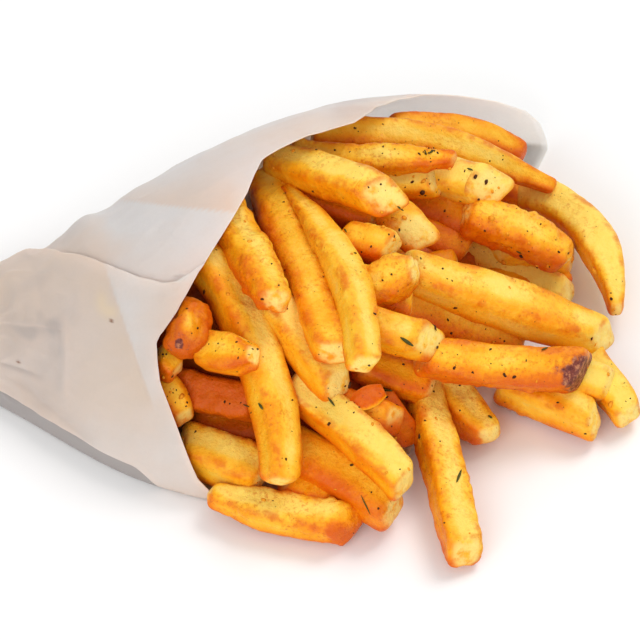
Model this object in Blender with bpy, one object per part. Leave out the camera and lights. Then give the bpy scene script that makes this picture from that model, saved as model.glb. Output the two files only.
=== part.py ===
# French fries spilling from a rolled paper cone that lies on its side.
# X runs from the cone's tip to the fries, Y away from the front, Z up; the table is Z = 0.
# Sizes below are in millimetres and angles in degrees; meshes are made in metres.
import math

import bmesh
import bpy
import numpy as np
from mathutils.bvhtree import BVHTree

MM = 0.001
SEED = 7

# Where the heap was laid out from: a line of sight this far above the table, looking along +Y
SIGHT_TILT = math.radians(50)
SIGHT_SIN = math.sin(SIGHT_TILT)
SIGHT_COS = math.cos(SIGHT_TILT)

# The paper cone: half width, middle and height of its cross-sections at stations along X
STATION_X = (-102.5, -66, -29, 0, 28, 46, 80)
PAPER_HALF_WIDTH = (2.5, 20, 43.5, 57, 65, 68.5, 69)
PAPER_MIDDLE = (8.5, 2.2, 0.3, 4, 7, 7.5, 5)
PAPER_HEIGHT = (3, 20, 44, 55, 58, 55, 50)
PAPER_WALL = 0.8

# Rings of points run straight across the cone as far as this X, and beyond it fan out to the mouth
FAN_X = -30
STRAIGHT_RINGS = 9
FAN_RINGS = 6

# The mouth's edge goes round the section: 0 is the front crease, 90 the top, 180 the far crease
MOUTH_ANGLE = (0, 8, 20, 33, 46, 52, 61, 74, 85, 97, 108, 113, 118, 122, 135, 145, 155, 163, 172, 180)
MOUTH_X = (-9, -14, -18, -22, -24, -25, -20, -12, -7, 0, 3, 12, 27, 30, 38, 46, 64, 73, 77, 79)

# The lower sheet runs on under the fries to a straight slanting edge
SHEET_FRONT_X = 33
SHEET_BACK_X = 79
SHEET_COLUMNS = 7

# The heap: the surface on which the middle lines of the topmost fries lie
HEAP_X = (-66, -29, 0, 28, 46, 66, 85, 102)
HEAP_HALF_WIDTH = (12, 35, 50, 52, 47, 38, 30, 20)
HEAP_MIDDLE = (4, 2, 3, 6, 13, 22, 22, 12)
HEAP_HEIGHT = (14, 37, 48, 46, 39, 27, 15, 7)

# Depths tried along a line of sight, from the viewer inward
DEPTHS = np.arange(110, -110, -0.5)
THINNEST_BODY = 1

# How the pile settles: rounds, how far lower and upper fries give way, and the pull to the heap
ROUNDS = 60
YIELD_LOWER = 0.35
YIELD_UPPER = 0.25
PULL_BACK = 0.08
SAMPLES = 9
SHARES = np.linspace(0, 1, SAMPLES)
BED_INSET = 17
CEILING_SHARE = 0.56
EDGE_MARGIN = 0.3

# The core under the fries is the heap shrunk by an inset
CORE_INSET = 22
CORE_START, CORE_END = -66, 76
CORE_LEAST = 2
CORE_RINGS = 14
CORE_SIDES = 12

PAPER_COLOR = (0.72, 0.69, 0.66)
PAPER_ROUGHNESS = 0.7
FRY_COLOR = (0.85, 0.45, 0.09)
FRY_ROUGHNESS = 0.55

# Fries are square sticks with softened corners
FRY_TOUCH = 0.8
TOUCH_SPREAD = 0.9
FRY_CORNER = 0.27
CORNER_LOSS = 0.3
END_ROUNDING = 0.22
END_SIZE = 0.68
PAPER_GAP = 0.4
FLOOR = PAPER_WALL + PAPER_GAP

# A fry that would cross the paper is cut back at its hidden start
SHORTEST = 9
TRIM_STEP = 0.08
TRIM_TRIES = 8

# The bed: fries laid by a rule under those that show
BED_ROWS = 9
BED_COLUMNS = 4
BED_LEFT, BED_RIGHT = -14, 60
BED_LOW, BED_HIGH = -41, 53
BED_LENGTH = (46, 62)
BED_WIDTH = (9.5, 11.5)
BED_TURN = 20
BED_SOURCE = (-75, 20)
BED_SAMPLES = 13
BED_LEAST = 5

# A fry that touches nothing is joined to its nearest neighbour by a hidden stick
BRIDGE_WIDTH = 4
BRIDGE_SAMPLES = 7

# The fries that show, lowest first. Each row has the start and the end of its middle line as
# seen along the line of sight (right, up), then its seen width, the turn of its faces, its
# sideways bow, and how much deeper its start lies than its end where it points at the front.
FRIES = (
    ("right_edge_lower", 88, 1.5, 99, -16.5, 10.5, 20, 0, 0),
    ("right_lower_front", 66, -6, 91, -17.5, 12, 30, 0, 0),
    ("right_lower_round_end", 78, -3.5, 95.2, -8, 10.5, 15, 0, 0),
    ("bottom_browned_end", -9, -36.6, 28.2, -43.8, 11.5, 35, -1.5, 0),
    ("bottom_deep_orange", 8.5, -22, 37.5, -39, 11.5, 10, 0, 0),
    ("bottom_left_light", -22, -23, 4.5, -31, 13, 35, 0, 0),
    ("left_in_shadow", -22.5, -7, 3, -13, 10, 10, 0, 0),
    ("left_behind_edge", -23.5, -4.5, -16.5, -17, 8.5, 10, 0, 0),
    ("middle_gap_dark", 33, -10.5, 42.5, -22.5, 8.5, 20, 0, 0),
    ("middle_gap_shaded", 21, -10.5, 38.5, -18, 9, 10, 0, 0),
    ("right_front_short", 46, -2.5, 63, -21, 11.5, 30, -1, 0),
    ("front_pointing_down", 44.5, -5, 56.5, -52, 11, 25, -0.5, 0),
    ("lower_middle_long", 10.5, -6.5, 41, -34, 11.5, 30, 1, 0),
    ("middle_round_end", 4.5, 14.5, 24, -8, 11.5, 25, 0, 0),
    ("front_left_long", -15, 29, 8.2, -33.3, 12.5, 35, 6, 0),
    ("left_light_chunk", -13, 1, 1.8, 0.4, 11, 20, 0, 14),
    ("left_small_end", -24.5, 0, -18.6, -4, 7.5, 20, 0, 0),
    ("left_browned_knob", -14, 14.5, -16.8, 2.8, 11, 25, 0, 0),
    ("left_ragged_end", -9, 41, 7.5, 13.5, 12, 35, 0, 0),
    ("middle_specked_tan", 33, 16.5, 72.5, 2.5, 10, 10, 0, 0),
    ("middle_orange", 29, -2, 48, -8.5, 10, 20, 0, 0),
    ("upper_right_pale_strip", 46, 31.5, 84.5, 15.5, 9.5, 15, 0, 0),
    ("upper_right_pale_end", 64, 28.5, 86, 24.8, 10.5, 30, 0, 0),
    ("upper_shaded", 38, 43.5, 60.5, 32.5, 11.5, 20, 0, 0),
    ("right_curved", 71, 43.4, 96.3, 10.8, 11.5, 35, 8, 0),
    ("top_orange", 36.8, 59.5, 73.6, 53.4, 8, 20, 2.6, 0),
    ("top_long_light", 16, 57.5, 80.5, 44, 10, 25, 5, 0),
    ("upper_right_crusty", 56, 37, 83.3, 24.8, 12.5, 40, 1.5, 0),
    ("upper_short_thick", 45, 48, 68.3, 43, 11.5, 20, 0, 0),
    ("upper_yellow_end", 36, 44.5, 49.5, 45.8, 8, 20, 0, 0),
    ("upper_thin_crusty", 10, 52.5, 54, 51.3, 8.5, 30, -1, 0),
    ("right_long", 40, 22, 94.8, 3.5, 13, 40, 0.3, 0),
    ("right_dark_tip", 44, -1, 87.5, -4.5, 11.5, 15, 0, 0),
    ("middle_thyme", 31, 8, 50, 2.8, 11, 20, 0, 0),
    ("middle_end_right", 35.5, 37, 46, 30.5, 11, 20, 0, 8),
    ("middle_end_front", 24, 30.5, 37.3, 27.5, 11, 20, 0, 10),
    ("middle_ragged", 29, 16.5, 43.7, 22.5, 12, 20, 0, 4),
    ("long_specked", 3, 47, 22.5, 0.3, 11.5, 15, 0, 0),
    ("long_tapered", 9, 44, 30, -2.7, 10.5, 30, 5, 0),
    ("upper_long", 4, 52, 38.5, 40.5, 11.5, 35, 0, 0),
)


# Curves through named stations


def along(stations, values, x):
    """A smooth curve through values given at stations, read at x."""
    stations = np.asarray(stations, float)
    values = np.asarray(values, float)
    slopes = np.gradient(values, stations)
    x = np.clip(x, stations[0], stations[-1])
    k = np.clip(np.searchsorted(stations, x) - 1, 0, len(stations) - 2)
    gap = stations[k + 1] - stations[k]
    t = (x - stations[k]) / gap
    rise = t * t * (3 - 2 * t)
    return (
        values[k] * (1 - rise)
        + values[k + 1] * rise
        + (t**3 - 2 * t**2 + t) * gap * slopes[k]
        + (t**3 - t**2) * gap * slopes[k + 1]
    )


def paper_section(x):
    half = along(STATION_X, PAPER_HALF_WIDTH, x)
    middle = along(STATION_X, PAPER_MIDDLE, x)
    height = along(STATION_X, PAPER_HEIGHT, x)
    return half, middle, height


def heap_section(x):
    half = along(HEAP_X, HEAP_HALF_WIDTH, x)
    middle = along(HEAP_X, HEAP_MIDDLE, x)
    height = along(HEAP_X, HEAP_HEIGHT, x)
    return half, middle, height


# Meshes from grids of points


def new_object(name, vertices, faces, color, roughness):
    """An object in metres from points in millimetres, with its own material."""
    mesh = bpy.data.meshes.new(name)
    mesh.from_pydata([tuple(p * MM for p in v) for v in vertices], [], faces)
    mesh.validate()
    obj = bpy.data.objects.new(name, mesh)
    bpy.context.scene.collection.objects.link(obj)
    material = bpy.data.materials.new(name)
    material.use_nodes = True
    shader = material.node_tree.nodes["Principled BSDF"]
    shader.inputs["Base Color"].default_value = (*color, 1)
    shader.inputs["Roughness"].default_value = roughness
    mesh.materials.append(material)
    return obj


def face_out(mesh):
    """Triangulate a closed mesh and turn its faces outward."""
    bm = bmesh.new()
    bm.from_mesh(mesh)
    bmesh.ops.triangulate(bm, faces=bm.faces)
    bmesh.ops.recalc_face_normals(bm, faces=bm.faces)
    bm.to_mesh(mesh)
    bm.free()


def ring_faces(rings, columns, start=0, flip=False):
    """Quads between closed rings of points, one after the other."""
    faces = []
    for i in range(rings - 1):
        for j in range(columns):
            a = start + i * columns + j
            b = start + i * columns + (j + 1) % columns
            quad = (a, b, b + columns, a + columns)
            faces.append(quad[::-1] if flip else quad)
    return faces


# The paper cone


def paper_columns():
    """Angles over the top, then places across the bottom, with the X where each column ends."""
    top = [(math.radians(a), None, x) for a, x in zip(MOUTH_ANGLE, MOUTH_X)]
    bottom = []
    for j in range(1, SHEET_COLUMNS + 1):
        across = math.cos(math.pi * j / (SHEET_COLUMNS + 1))
        end = SHEET_FRONT_X + (SHEET_BACK_X - SHEET_FRONT_X) * (across + 1) / 2
        bottom.append((None, across, end))
    return top + bottom


def paper_point(x, angle, across, inset):
    """A point of the paper's surface, moved inward by inset."""
    half, middle, height = paper_section(x)
    if angle is None:
        return (x, middle + across * (half - inset), inset)
    y = middle - (half - inset) * math.cos(angle)
    z = inset + (height - 2 * inset) * math.sin(angle)
    return (x, y, z)


def paper_rings(inset):
    """Rings of points from the tip to the mouth's edge."""
    tip = STATION_X[0] + inset
    columns = paper_columns()
    rings = []
    for x in np.linspace(tip, FAN_X, STRAIGHT_RINGS):
        rings.append([paper_point(x, angle, across, inset) for angle, across, _ in columns])
    for share in np.linspace(0, 1, FAN_RINGS)[1:]:
        ring = []
        for angle, across, end in columns:
            ring.append(paper_point(FAN_X + share * (end - FAN_X), angle, across, inset))
        rings.append(ring)
    return rings


def make_paper():
    """A thin closed shell: outer skin, mouth edge, inner skin and a shut tip."""
    columns = len(paper_columns())
    rings = paper_rings(0) + paper_rings(PAPER_WALL)[::-1]
    vertices = [point for ring in rings for point in ring]
    faces = ring_faces(len(rings), columns)
    faces.append(tuple(range(columns)))
    last = (len(rings) - 1) * columns
    faces.append(tuple(last + j for j in reversed(range(columns))))
    paper = new_object("paper_cone", vertices, faces, PAPER_COLOR, PAPER_ROUGHNESS)
    face_out(paper.data)
    return paper


# The core


def core_mesh():
    vertices = []
    for x in np.linspace(CORE_START, CORE_END, CORE_RINGS):
        half, middle, height = heap_section(x)
        half = max(half - CORE_INSET, CORE_LEAST)
        height = max(height - CORE_INSET, CORE_LEAST)
        for j in range(CORE_SIDES):
            angle = math.pi * j / (CORE_SIDES - 1)
            z = FLOOR + height * math.sin(angle)
            vertices.append((x, middle - half * math.cos(angle), z))
    faces = ring_faces(CORE_RINGS, CORE_SIDES)
    faces.append(tuple(range(CORE_SIDES)))
    last = (CORE_RINGS - 1) * CORE_SIDES
    faces.append(tuple(last + j for j in reversed(range(CORE_SIDES))))
    return vertices, faces


# Laying fries along the line of sight


def place(right, up, depth):
    """World point of a place seen at (right, up), depth toward the viewer."""
    y = up * SIGHT_SIN - depth * SIGHT_COS
    z = up * SIGHT_COS + depth * SIGHT_SIN
    return np.stack(np.broadcast_arrays(right, y, z), axis=-1)


def on_section(right, up, section, inset):
    """Depth where the line of sight meets a body of rounded sections, shrunk by inset.

    Where it passes over the body, the depth at which it comes closest.
    """
    points = place(right[:, None], up[:, None], DEPTHS[None, :])
    half, middle, height = section(right)
    across = (points[..., 1] - middle[:, None]) / np.maximum(half - inset, THINNEST_BODY)[:, None]
    high = points[..., 2] / np.maximum(height - inset, THINNEST_BODY)[:, None]
    size = across**2 + high**2
    inside = (size < 1) & (high > 0)
    met = inside.any(1)
    return DEPTHS[np.where(met, inside.argmax(1), size.argmin(1))], met


def seen_path(fry, count):
    """The seen places along a fry's middle line, bowed to one side."""
    _, right0, up0, right1, up1, _, _, bow, _ = fry
    s = np.linspace(0, 1, count)
    length = math.hypot(right1 - right0, up1 - up0)
    side = bow * 4 * s * (1 - s)
    right = right0 + (right1 - right0) * s - (up1 - up0) / length * side
    up = up0 + (up1 - up0) * s + (right1 - right0) / length * side
    return s, right, up


def surface_depths(fry, inset):
    """Depth of a fry's middle line on the table, and on the heap or the table under it."""
    _, right, up = seen_path(fry, SAMPLES)
    lowest = (FLOOR + fry[5] / 2 - up * SIGHT_COS) / SIGHT_SIN
    surface, _ = on_section(right, up, heap_section, inset)
    return lowest, np.maximum(lowest, surface)


def ceiling_depths(fry):
    """How near the viewer a fry's middle line may come where the upper sheet covers it."""
    _, right, up = seen_path(fry, SAMPLES)
    inset = PAPER_WALL + PAPER_GAP + fry[5] * CEILING_SHARE
    depth, met = on_section(right, up, paper_section, inset)
    points = place(right, up, depth)
    half, middle, height = paper_section(right)
    angle = np.degrees(np.arctan2(points[:, 2] / height, (middle - points[:, 1]) / half))
    covered = met & (right - fry[5] * EDGE_MARGIN < np.interp(angle, MOUTH_ANGLE, MOUTH_X))
    return np.where(covered, depth, np.inf)


def straight_fit(depths):
    """Start and end depth of the straight line nearest to sampled depths."""
    slope, start = np.polyfit(SHARES, depths, 1)
    return np.array([start, start + slope])


def crossings(lower, upper):
    """Where two fries overlap as seen: shares along each and the depth needed between them."""
    reach = FRY_TOUCH * (lower[5] + upper[5]) / 2
    _, r0, u0 = seen_path(lower, SAMPLES)
    _, r1, u1 = seen_path(upper, SAMPLES)
    apart = (r0[:, None] - r1) ** 2 + (u0[:, None] - u1) ** 2
    i, j = np.nonzero(apart < (TOUCH_SPREAD * reach) ** 2)
    return [(SHARES[a], SHARES[b], math.sqrt(reach**2 - apart[a, b])) for a, b in zip(i, j)]


def push(depths, share, amount):
    """Move a fry by amount at one share of its length, turning it as a lever would."""
    weights = np.array([1 - share, share])
    depths += amount * weights / (weights @ weights)


def settle(fries):
    """Depths for the fries that show: the upper ones on the heap, the lower ones under them."""
    aims, depths, floors, links = [], [], [], []
    ceilings = [ceiling_depths(fry) for fry in fries]
    for fry in fries:
        lowest, surface = surface_depths(fry, 0)
        aim = straight_fit(surface)
        if fry[8]:
            aim[0] = aim[1] - fry[8]
        aims.append(aim)
        depths.append(aim.copy())
        floors.append(lowest)
    for b in range(len(fries)):
        for a in range(b):
            links += [(a, b, s, t, need) for s, t, need in crossings(fries[a], fries[b])]
    for _ in range(ROUNDS):
        for a, b, s, t, need in links:
            gap = depths[b] @ (1 - t, t) - depths[a] @ (1 - s, s)
            if gap < need:
                push(depths[a], s, (gap - need) * YIELD_LOWER)
                push(depths[b], t, (need - gap) * YIELD_UPPER)
        for k, lowest in enumerate(floors):
            depths[k] += (aims[k] - depths[k]) * PULL_BACK
            if fries[k][8]:
                depths[k][0] = depths[k][1] - fries[k][8]
                continue
            for share, floor in ((0, lowest[0]), (1, lowest[-1])):
                short = floor - depths[k] @ (1 - share, share)
                if short > 0:
                    push(depths[k], share, short)
            for share, ceiling in zip(SHARES, ceilings[k]):
                over = depths[k] @ (1 - share, share) - ceiling
                if over > 0:
                    push(depths[k], share, -over)
    return depths


def fry_path(fry, depths, count):
    s, right, up = seen_path(fry, count)
    depth = depths[0] + (depths[1] - depths[0]) * s
    return right, up, depth


# The shape of a fry


def fry_mesh(points, width, turn):
    """A square stick with cut corners and softened ends along a middle line."""
    spread = abs(math.cos(turn)) + abs(math.sin(turn)) - CORNER_LOSS * abs(math.sin(2 * turn))
    half = width / spread / 2
    corner = half * (1 - 2 * FRY_CORNER)
    outline = []
    for a, b in ((half, corner), (corner, half), (-corner, half), (-half, corner)):
        outline.append((a, b))
    outline += [(-a, -b) for a, b in outline]
    toward = np.array([0, -SIGHT_COS, SIGHT_SIN])
    steps = np.diff(points, axis=0)
    length = np.linalg.norm(steps, axis=1).sum()
    tangents = np.gradient(points, axis=0)
    tangents /= np.linalg.norm(tangents, axis=1)[:, None]
    ends = END_ROUNDING * width / length
    stations = [0, ends] + list(np.linspace(0, 1, len(points))[1:-1]) + [1 - ends, 1]
    sizes = [END_SIZE] + [1] * (len(stations) - 2) + [END_SIZE]
    vertices = []
    for station, size in zip(stations, sizes):
        at = station * (len(points) - 1)
        k = min(int(at), len(points) - 2)
        part = at - k
        centre = points[k] * (1 - part) + points[k + 1] * part
        tangent = tangents[k] * (1 - part) + tangents[k + 1] * part
        tangent /= np.linalg.norm(tangent)
        up = toward - tangent * (toward @ tangent)
        up /= np.linalg.norm(up)
        side = np.cross(tangent, up)
        for a, b in outline:
            a2 = (a * math.cos(turn) - b * math.sin(turn)) * size
            b2 = (a * math.sin(turn) + b * math.cos(turn)) * size
            vertices.append(centre + side * a2 + up * b2)
    sides = len(outline)
    faces = ring_faces(len(stations), sides)
    faces.append(tuple(range(sides)))
    last = (len(stations) - 1) * sides
    faces.append(tuple(last + j for j in reversed(range(sides))))
    return np.array(vertices), faces


def clear_of_paper(vertices, tree):
    """True where no point of a fry is near the paper."""
    for v in vertices:
        hit = tree.find_nearest(tuple(v), PAPER_GAP)
        if hit[0] is not None:
            return False
    return True


def mesh_tree(vertices, faces):
    return BVHTree.FromPolygons([tuple(v) for v in vertices], faces)


def crosses(vertices, faces, tree):
    return bool(mesh_tree(vertices, faces).overlap(tree))


def shorten(fry, share):
    name, right0, up0, right1, up1, width, turn, bow, dive = fry
    right0 += (right1 - right0) * share
    up0 += (up1 - up0) * share
    return (name, right0, up0, right1, up1, width, turn, bow * (1 - share), dive * (1 - share))


def lay(fry, depths, tree):
    """Shape one settled fry; cut its hidden start back while it would cross the paper."""
    for _ in range(TRIM_TRIES):
        right, up, depth = fry_path(fry, depths, 5 if fry[7] else 3)
        points = place(right, up, depth)
        vertices, faces = fry_mesh(points, fry[5], math.radians(fry[6]))
        if not crosses(vertices, faces, tree) and clear_of_paper(vertices, tree):
            return Stick(points, vertices, faces)
        fry = shorten(fry, TRIM_STEP)
        depths = (depths[0] + (depths[1] - depths[0]) * TRIM_STEP, depths[1])
        seen = math.hypot(fry[3] - fry[1], fry[4] - fry[2])
        if math.hypot(seen, depths[1] - depths[0]) < SHORTEST:
            break
    return None


def bed_fries():
    """Fries under those that show, fanning out from inside the cone, with their depths."""
    rng = np.random.default_rng(SEED)
    rows = []
    for i in range(BED_ROWS):
        for j in range(BED_COLUMNS):
            up = BED_LOW + (BED_HIGH - BED_LOW) * (i + rng.uniform(0.2, 0.8)) / BED_ROWS
            right = BED_LEFT + (BED_RIGHT - BED_LEFT) * (j + rng.uniform(0.2, 0.8)) / BED_COLUMNS
            turn = math.atan2(up - BED_SOURCE[1], right - BED_SOURCE[0])
            turn += math.radians(rng.uniform(-BED_TURN, BED_TURN))
            reach = rng.uniform(*BED_LENGTH) / 2
            width = rng.uniform(*BED_WIDTH)
            faces_turn = rng.uniform(0, 45)
            a, b = math.cos(turn) * reach, math.sin(turn) * reach
            ends = (right - a, up - b, right + a, up + b)
            fry = keep_on_heap((f"bed_{i}_{j}", *ends, width, faces_turn, 0, 0))
            if fry:
                rows.append(fry)
    return [(fry, straight_fit(surface_depths(fry, BED_INSET)[1])) for fry in rows]


def keep_on_heap(fry):
    """Cut a bed fry to its longest run over the heap; None where too little is left."""
    _, right, up = seen_path(fry, BED_SAMPLES)
    _, met = on_section(right, up, heap_section, BED_INSET + fry[5] / 2)
    runs = [[]]
    for k, on in enumerate(met):
        if on:
            runs[-1].append(k)
        elif runs[-1]:
            runs.append([])
    run = max(runs, key=len)
    if len(run) < BED_LEAST:
        return None
    first, last = run[0], run[-1]
    ends = (right[first], up[first], right[last], up[last])
    return (fry[0], *ends, *fry[5:])


class Stick:
    """A shaped fry: its middle line and its mesh."""

    def __init__(self, points, vertices, faces):
        self.points = points
        self.vertices = vertices
        self.faces = faces
        self.tree = mesh_tree(vertices, faces)

    def samples(self):
        at = np.linspace(0, len(self.points) - 1, BRIDGE_SAMPLES)
        whole = range(len(self.points))
        return np.stack([np.interp(at, whole, axis) for axis in self.points.T], axis=1)


def core_stick():
    """The core as a stick whose middle line runs through it."""
    vertices, faces = core_mesh()
    rings = np.array(vertices).reshape(CORE_RINGS, CORE_SIDES, 3)
    return Stick(rings.mean(axis=1), vertices, faces)


def bridges(sticks):
    """Hidden sticks that join what touches nothing to the rest, the nearest pair first."""
    groups = []
    for k, stick in enumerate(sticks):
        met = [g for g in groups if any(stick.tree.overlap(sticks[j].tree) for j in g)]
        groups = [g for g in groups if g not in met]
        groups.append(sorted({k}.union(*met)))
    groups.sort()
    joined = groups[0]
    added = []
    for group in groups[1:]:
        loose = np.concatenate([sticks[j].samples() for j in group])
        held = np.concatenate([sticks[j].samples() for j in joined])
        apart = np.linalg.norm(loose[:, None] - held[None, :], axis=2)
        a, b = np.unravel_index(apart.argmin(), apart.shape)
        line = np.array([loose[a], held[b]])
        added.append(Stick(line, *fry_mesh(line, BRIDGE_WIDTH, 0)))
        joined = joined + group
    return added


def make_fries(tree):
    """Lay every fry and fuse all to the core in one union."""
    pairs = bed_fries() + list(zip(FRIES, settle(FRIES)))
    sticks = [core_stick()]
    for fry, ends in pairs:
        stick = lay(fry, ends, tree)
        if stick:
            sticks.append(stick)
    sticks += bridges(sticks)
    core = new_object("fries", sticks[0].vertices, sticks[0].faces, FRY_COLOR, FRY_ROUGHNESS)
    face_out(core.data)
    pile = bpy.data.collections.new("pile")
    bpy.context.scene.collection.children.link(pile)
    for stick in sticks[1:]:
        obj = new_object("stick", stick.vertices, stick.faces, FRY_COLOR, FRY_ROUGHNESS)
        face_out(obj.data)
        bpy.context.scene.collection.objects.unlink(obj)
        pile.objects.link(obj)
    union = core.modifiers.new("fuse", "BOOLEAN")
    union.operation = "UNION"
    union.operand_type = "COLLECTION"
    union.collection = pile
    union.solver = "MANIFOLD"
    graph = bpy.context.evaluated_depsgraph_get()
    fused = bpy.data.meshes.new_from_object(core.evaluated_get(graph))
    core.modifiers.clear()
    core.data = fused
    for obj in list(pile.objects):
        bpy.data.objects.remove(obj)
    bpy.data.collections.remove(pile)
    keep_largest(fused)


def keep_largest(mesh):
    """Drop loose scraps and the skins of sealed hollows; triangulate the rest."""
    bm = bmesh.new()
    bm.from_mesh(mesh)
    unseen = set(bm.verts)
    groups = []
    while unseen:
        group = {unseen.pop()}
        front = list(group)
        while front:
            for edge in front.pop().link_edges:
                for vertex in edge.verts:
                    if vertex in unseen:
                        unseen.discard(vertex)
                        group.add(vertex)
                        front.append(vertex)
        groups.append(group)
    groups.sort(key=len)
    for group in groups[:-1]:
        bmesh.ops.delete(bm, geom=list(group), context="VERTS")
    bmesh.ops.triangulate(bm, faces=bm.faces)
    bm.to_mesh(mesh)
    bm.free()


def main():
    for obj in list(bpy.data.objects):
        bpy.data.objects.remove(obj)
    paper = make_paper()
    bm = bmesh.new()
    bm.from_mesh(paper.data)
    for vertex in bm.verts:
        vertex.co /= MM
    tree = BVHTree.FromBMesh(bm)
    bm.free()
    make_fries(tree)


main()
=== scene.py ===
# French fries spilling from a rolled paper cone that lies on its side.
# Sizes are in millimetres and angles in degrees; meshes are made in metres.
import math

import bmesh
import bpy
import numpy as np
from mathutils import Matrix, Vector
from mathutils.bvhtree import BVHTree


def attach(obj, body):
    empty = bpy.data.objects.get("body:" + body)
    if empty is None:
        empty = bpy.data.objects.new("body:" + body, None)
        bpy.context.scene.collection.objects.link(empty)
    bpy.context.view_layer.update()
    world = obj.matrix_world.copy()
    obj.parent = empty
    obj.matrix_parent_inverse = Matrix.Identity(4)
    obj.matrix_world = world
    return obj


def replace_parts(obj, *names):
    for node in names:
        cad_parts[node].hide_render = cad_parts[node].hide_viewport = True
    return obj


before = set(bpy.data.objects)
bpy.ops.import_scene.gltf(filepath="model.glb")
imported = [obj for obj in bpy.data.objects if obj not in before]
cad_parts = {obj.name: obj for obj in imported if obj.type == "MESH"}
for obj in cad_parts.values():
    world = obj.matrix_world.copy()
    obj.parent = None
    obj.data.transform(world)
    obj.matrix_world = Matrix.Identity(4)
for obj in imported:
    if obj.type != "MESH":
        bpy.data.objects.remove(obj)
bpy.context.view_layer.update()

MM = 0.001
SEED = 7

# The line of sight that the heap was laid out from, which is the camera's
SIGHT_TILT = math.radians(50)
SIGHT_SIN = math.sin(SIGHT_TILT)
SIGHT_COS = math.cos(SIGHT_TILT)
TOWARD = np.array([0, -SIGHT_COS, SIGHT_SIN])

# The camera: far off with a long lens, its frame this wide and centred on this seen place
CAMERA_AWAY = 4000
FRAME_WIDTH = 168.42
FRAME_CENTRE = (18.42, 9.21)
SENSOR = 36

# The paper cone's cross-sections, as in the solids: half width, middle and height along X
STATION_X = (-102.5, -66, -29, 0, 28, 46, 80)
PAPER_SECTION = (
    (2.5, 20, 43.5, 57, 65, 68.5, 69),
    (8.5, 2.2, 0.3, 4, 7, 7.5, 5),
    (3, 20, 44, 55, 58, 55, 50),
)
PAPER_WALL = 0.8
PAPER_GAP = 0.4
FLOOR = PAPER_WALL + PAPER_GAP
FAN_X = -30
MOUTH_ANGLE = (
    0, 4, 8, 14, 21.5, 28, 34.5, 41.5, 47.5, 54, 57, 62.5, 66.5, 70, 74.5, 79.5, 84.5,
    90, 96, 102.5, 108, 111, 113.5, 116, 118, 122, 135, 145, 155, 163, 172, 180,
)
MOUTH_X = (
    -9, -11, -13.9, -15.8, -17.9, -19.7, -21.6, -23.7, -24.3, -24.6, -23.6, -20.6, -18.4,
    -15.9, -12.4, -9.6, -6.6, -3.4, -0.4, 1.7, 3.4, 8.2, 14, 22, 27, 30, 38, 46, 64, 73,
    77, 79,
)
SHEET_FRONT_X = 33
SHEET_BACK_X = 79

# The heap's cross-sections, in the same terms
HEAP_X = (-66, -29, 0, 28, 46, 66, 85, 102)
HEAP_SECTION = (
    (12, 35, 50, 52, 47, 38, 30, 20),
    (4, 2, 3, 6, 13, 22, 22, 12),
    (14, 37, 48, 46, 39, 27, 15, 7),
)
DEPTHS = np.arange(110, -110, -0.5)
THINNEST_BODY = 1

# How the pile settles, as in the solids
ROUNDS = 60
YIELD_LOWER = 0.35
YIELD_UPPER = 0.25
PULL_BACK = 0.08
SAMPLES = 9
SHARES = np.linspace(0, 1, SAMPLES)
BED_INSET = 20
CEILING_SHARE = 0.56
EDGE_MARGIN = 0.3
CORE_INSET = 14
CORE_START, CORE_END = -66, 76
FRY_TOUCH = 0.8
TOUCH_SPREAD = 0.9
CORNER_LOSS = 0.3
SHORTEST = 9
TRIM_STEP = 0.08
TRIM_TRIES = 8
BED_ROWS = 9
BED_COLUMNS = 4
BED_LEFT, BED_RIGHT = -14, 60
BED_LOW, BED_HIGH = -41, 53
BED_LENGTH = (46, 62)
BED_WIDTH = (9.5, 11.5)
BED_TURN = 20
BED_SOURCE = (-75, 20)
BED_SAMPLES = 13
BED_LEAST = 5

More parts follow.
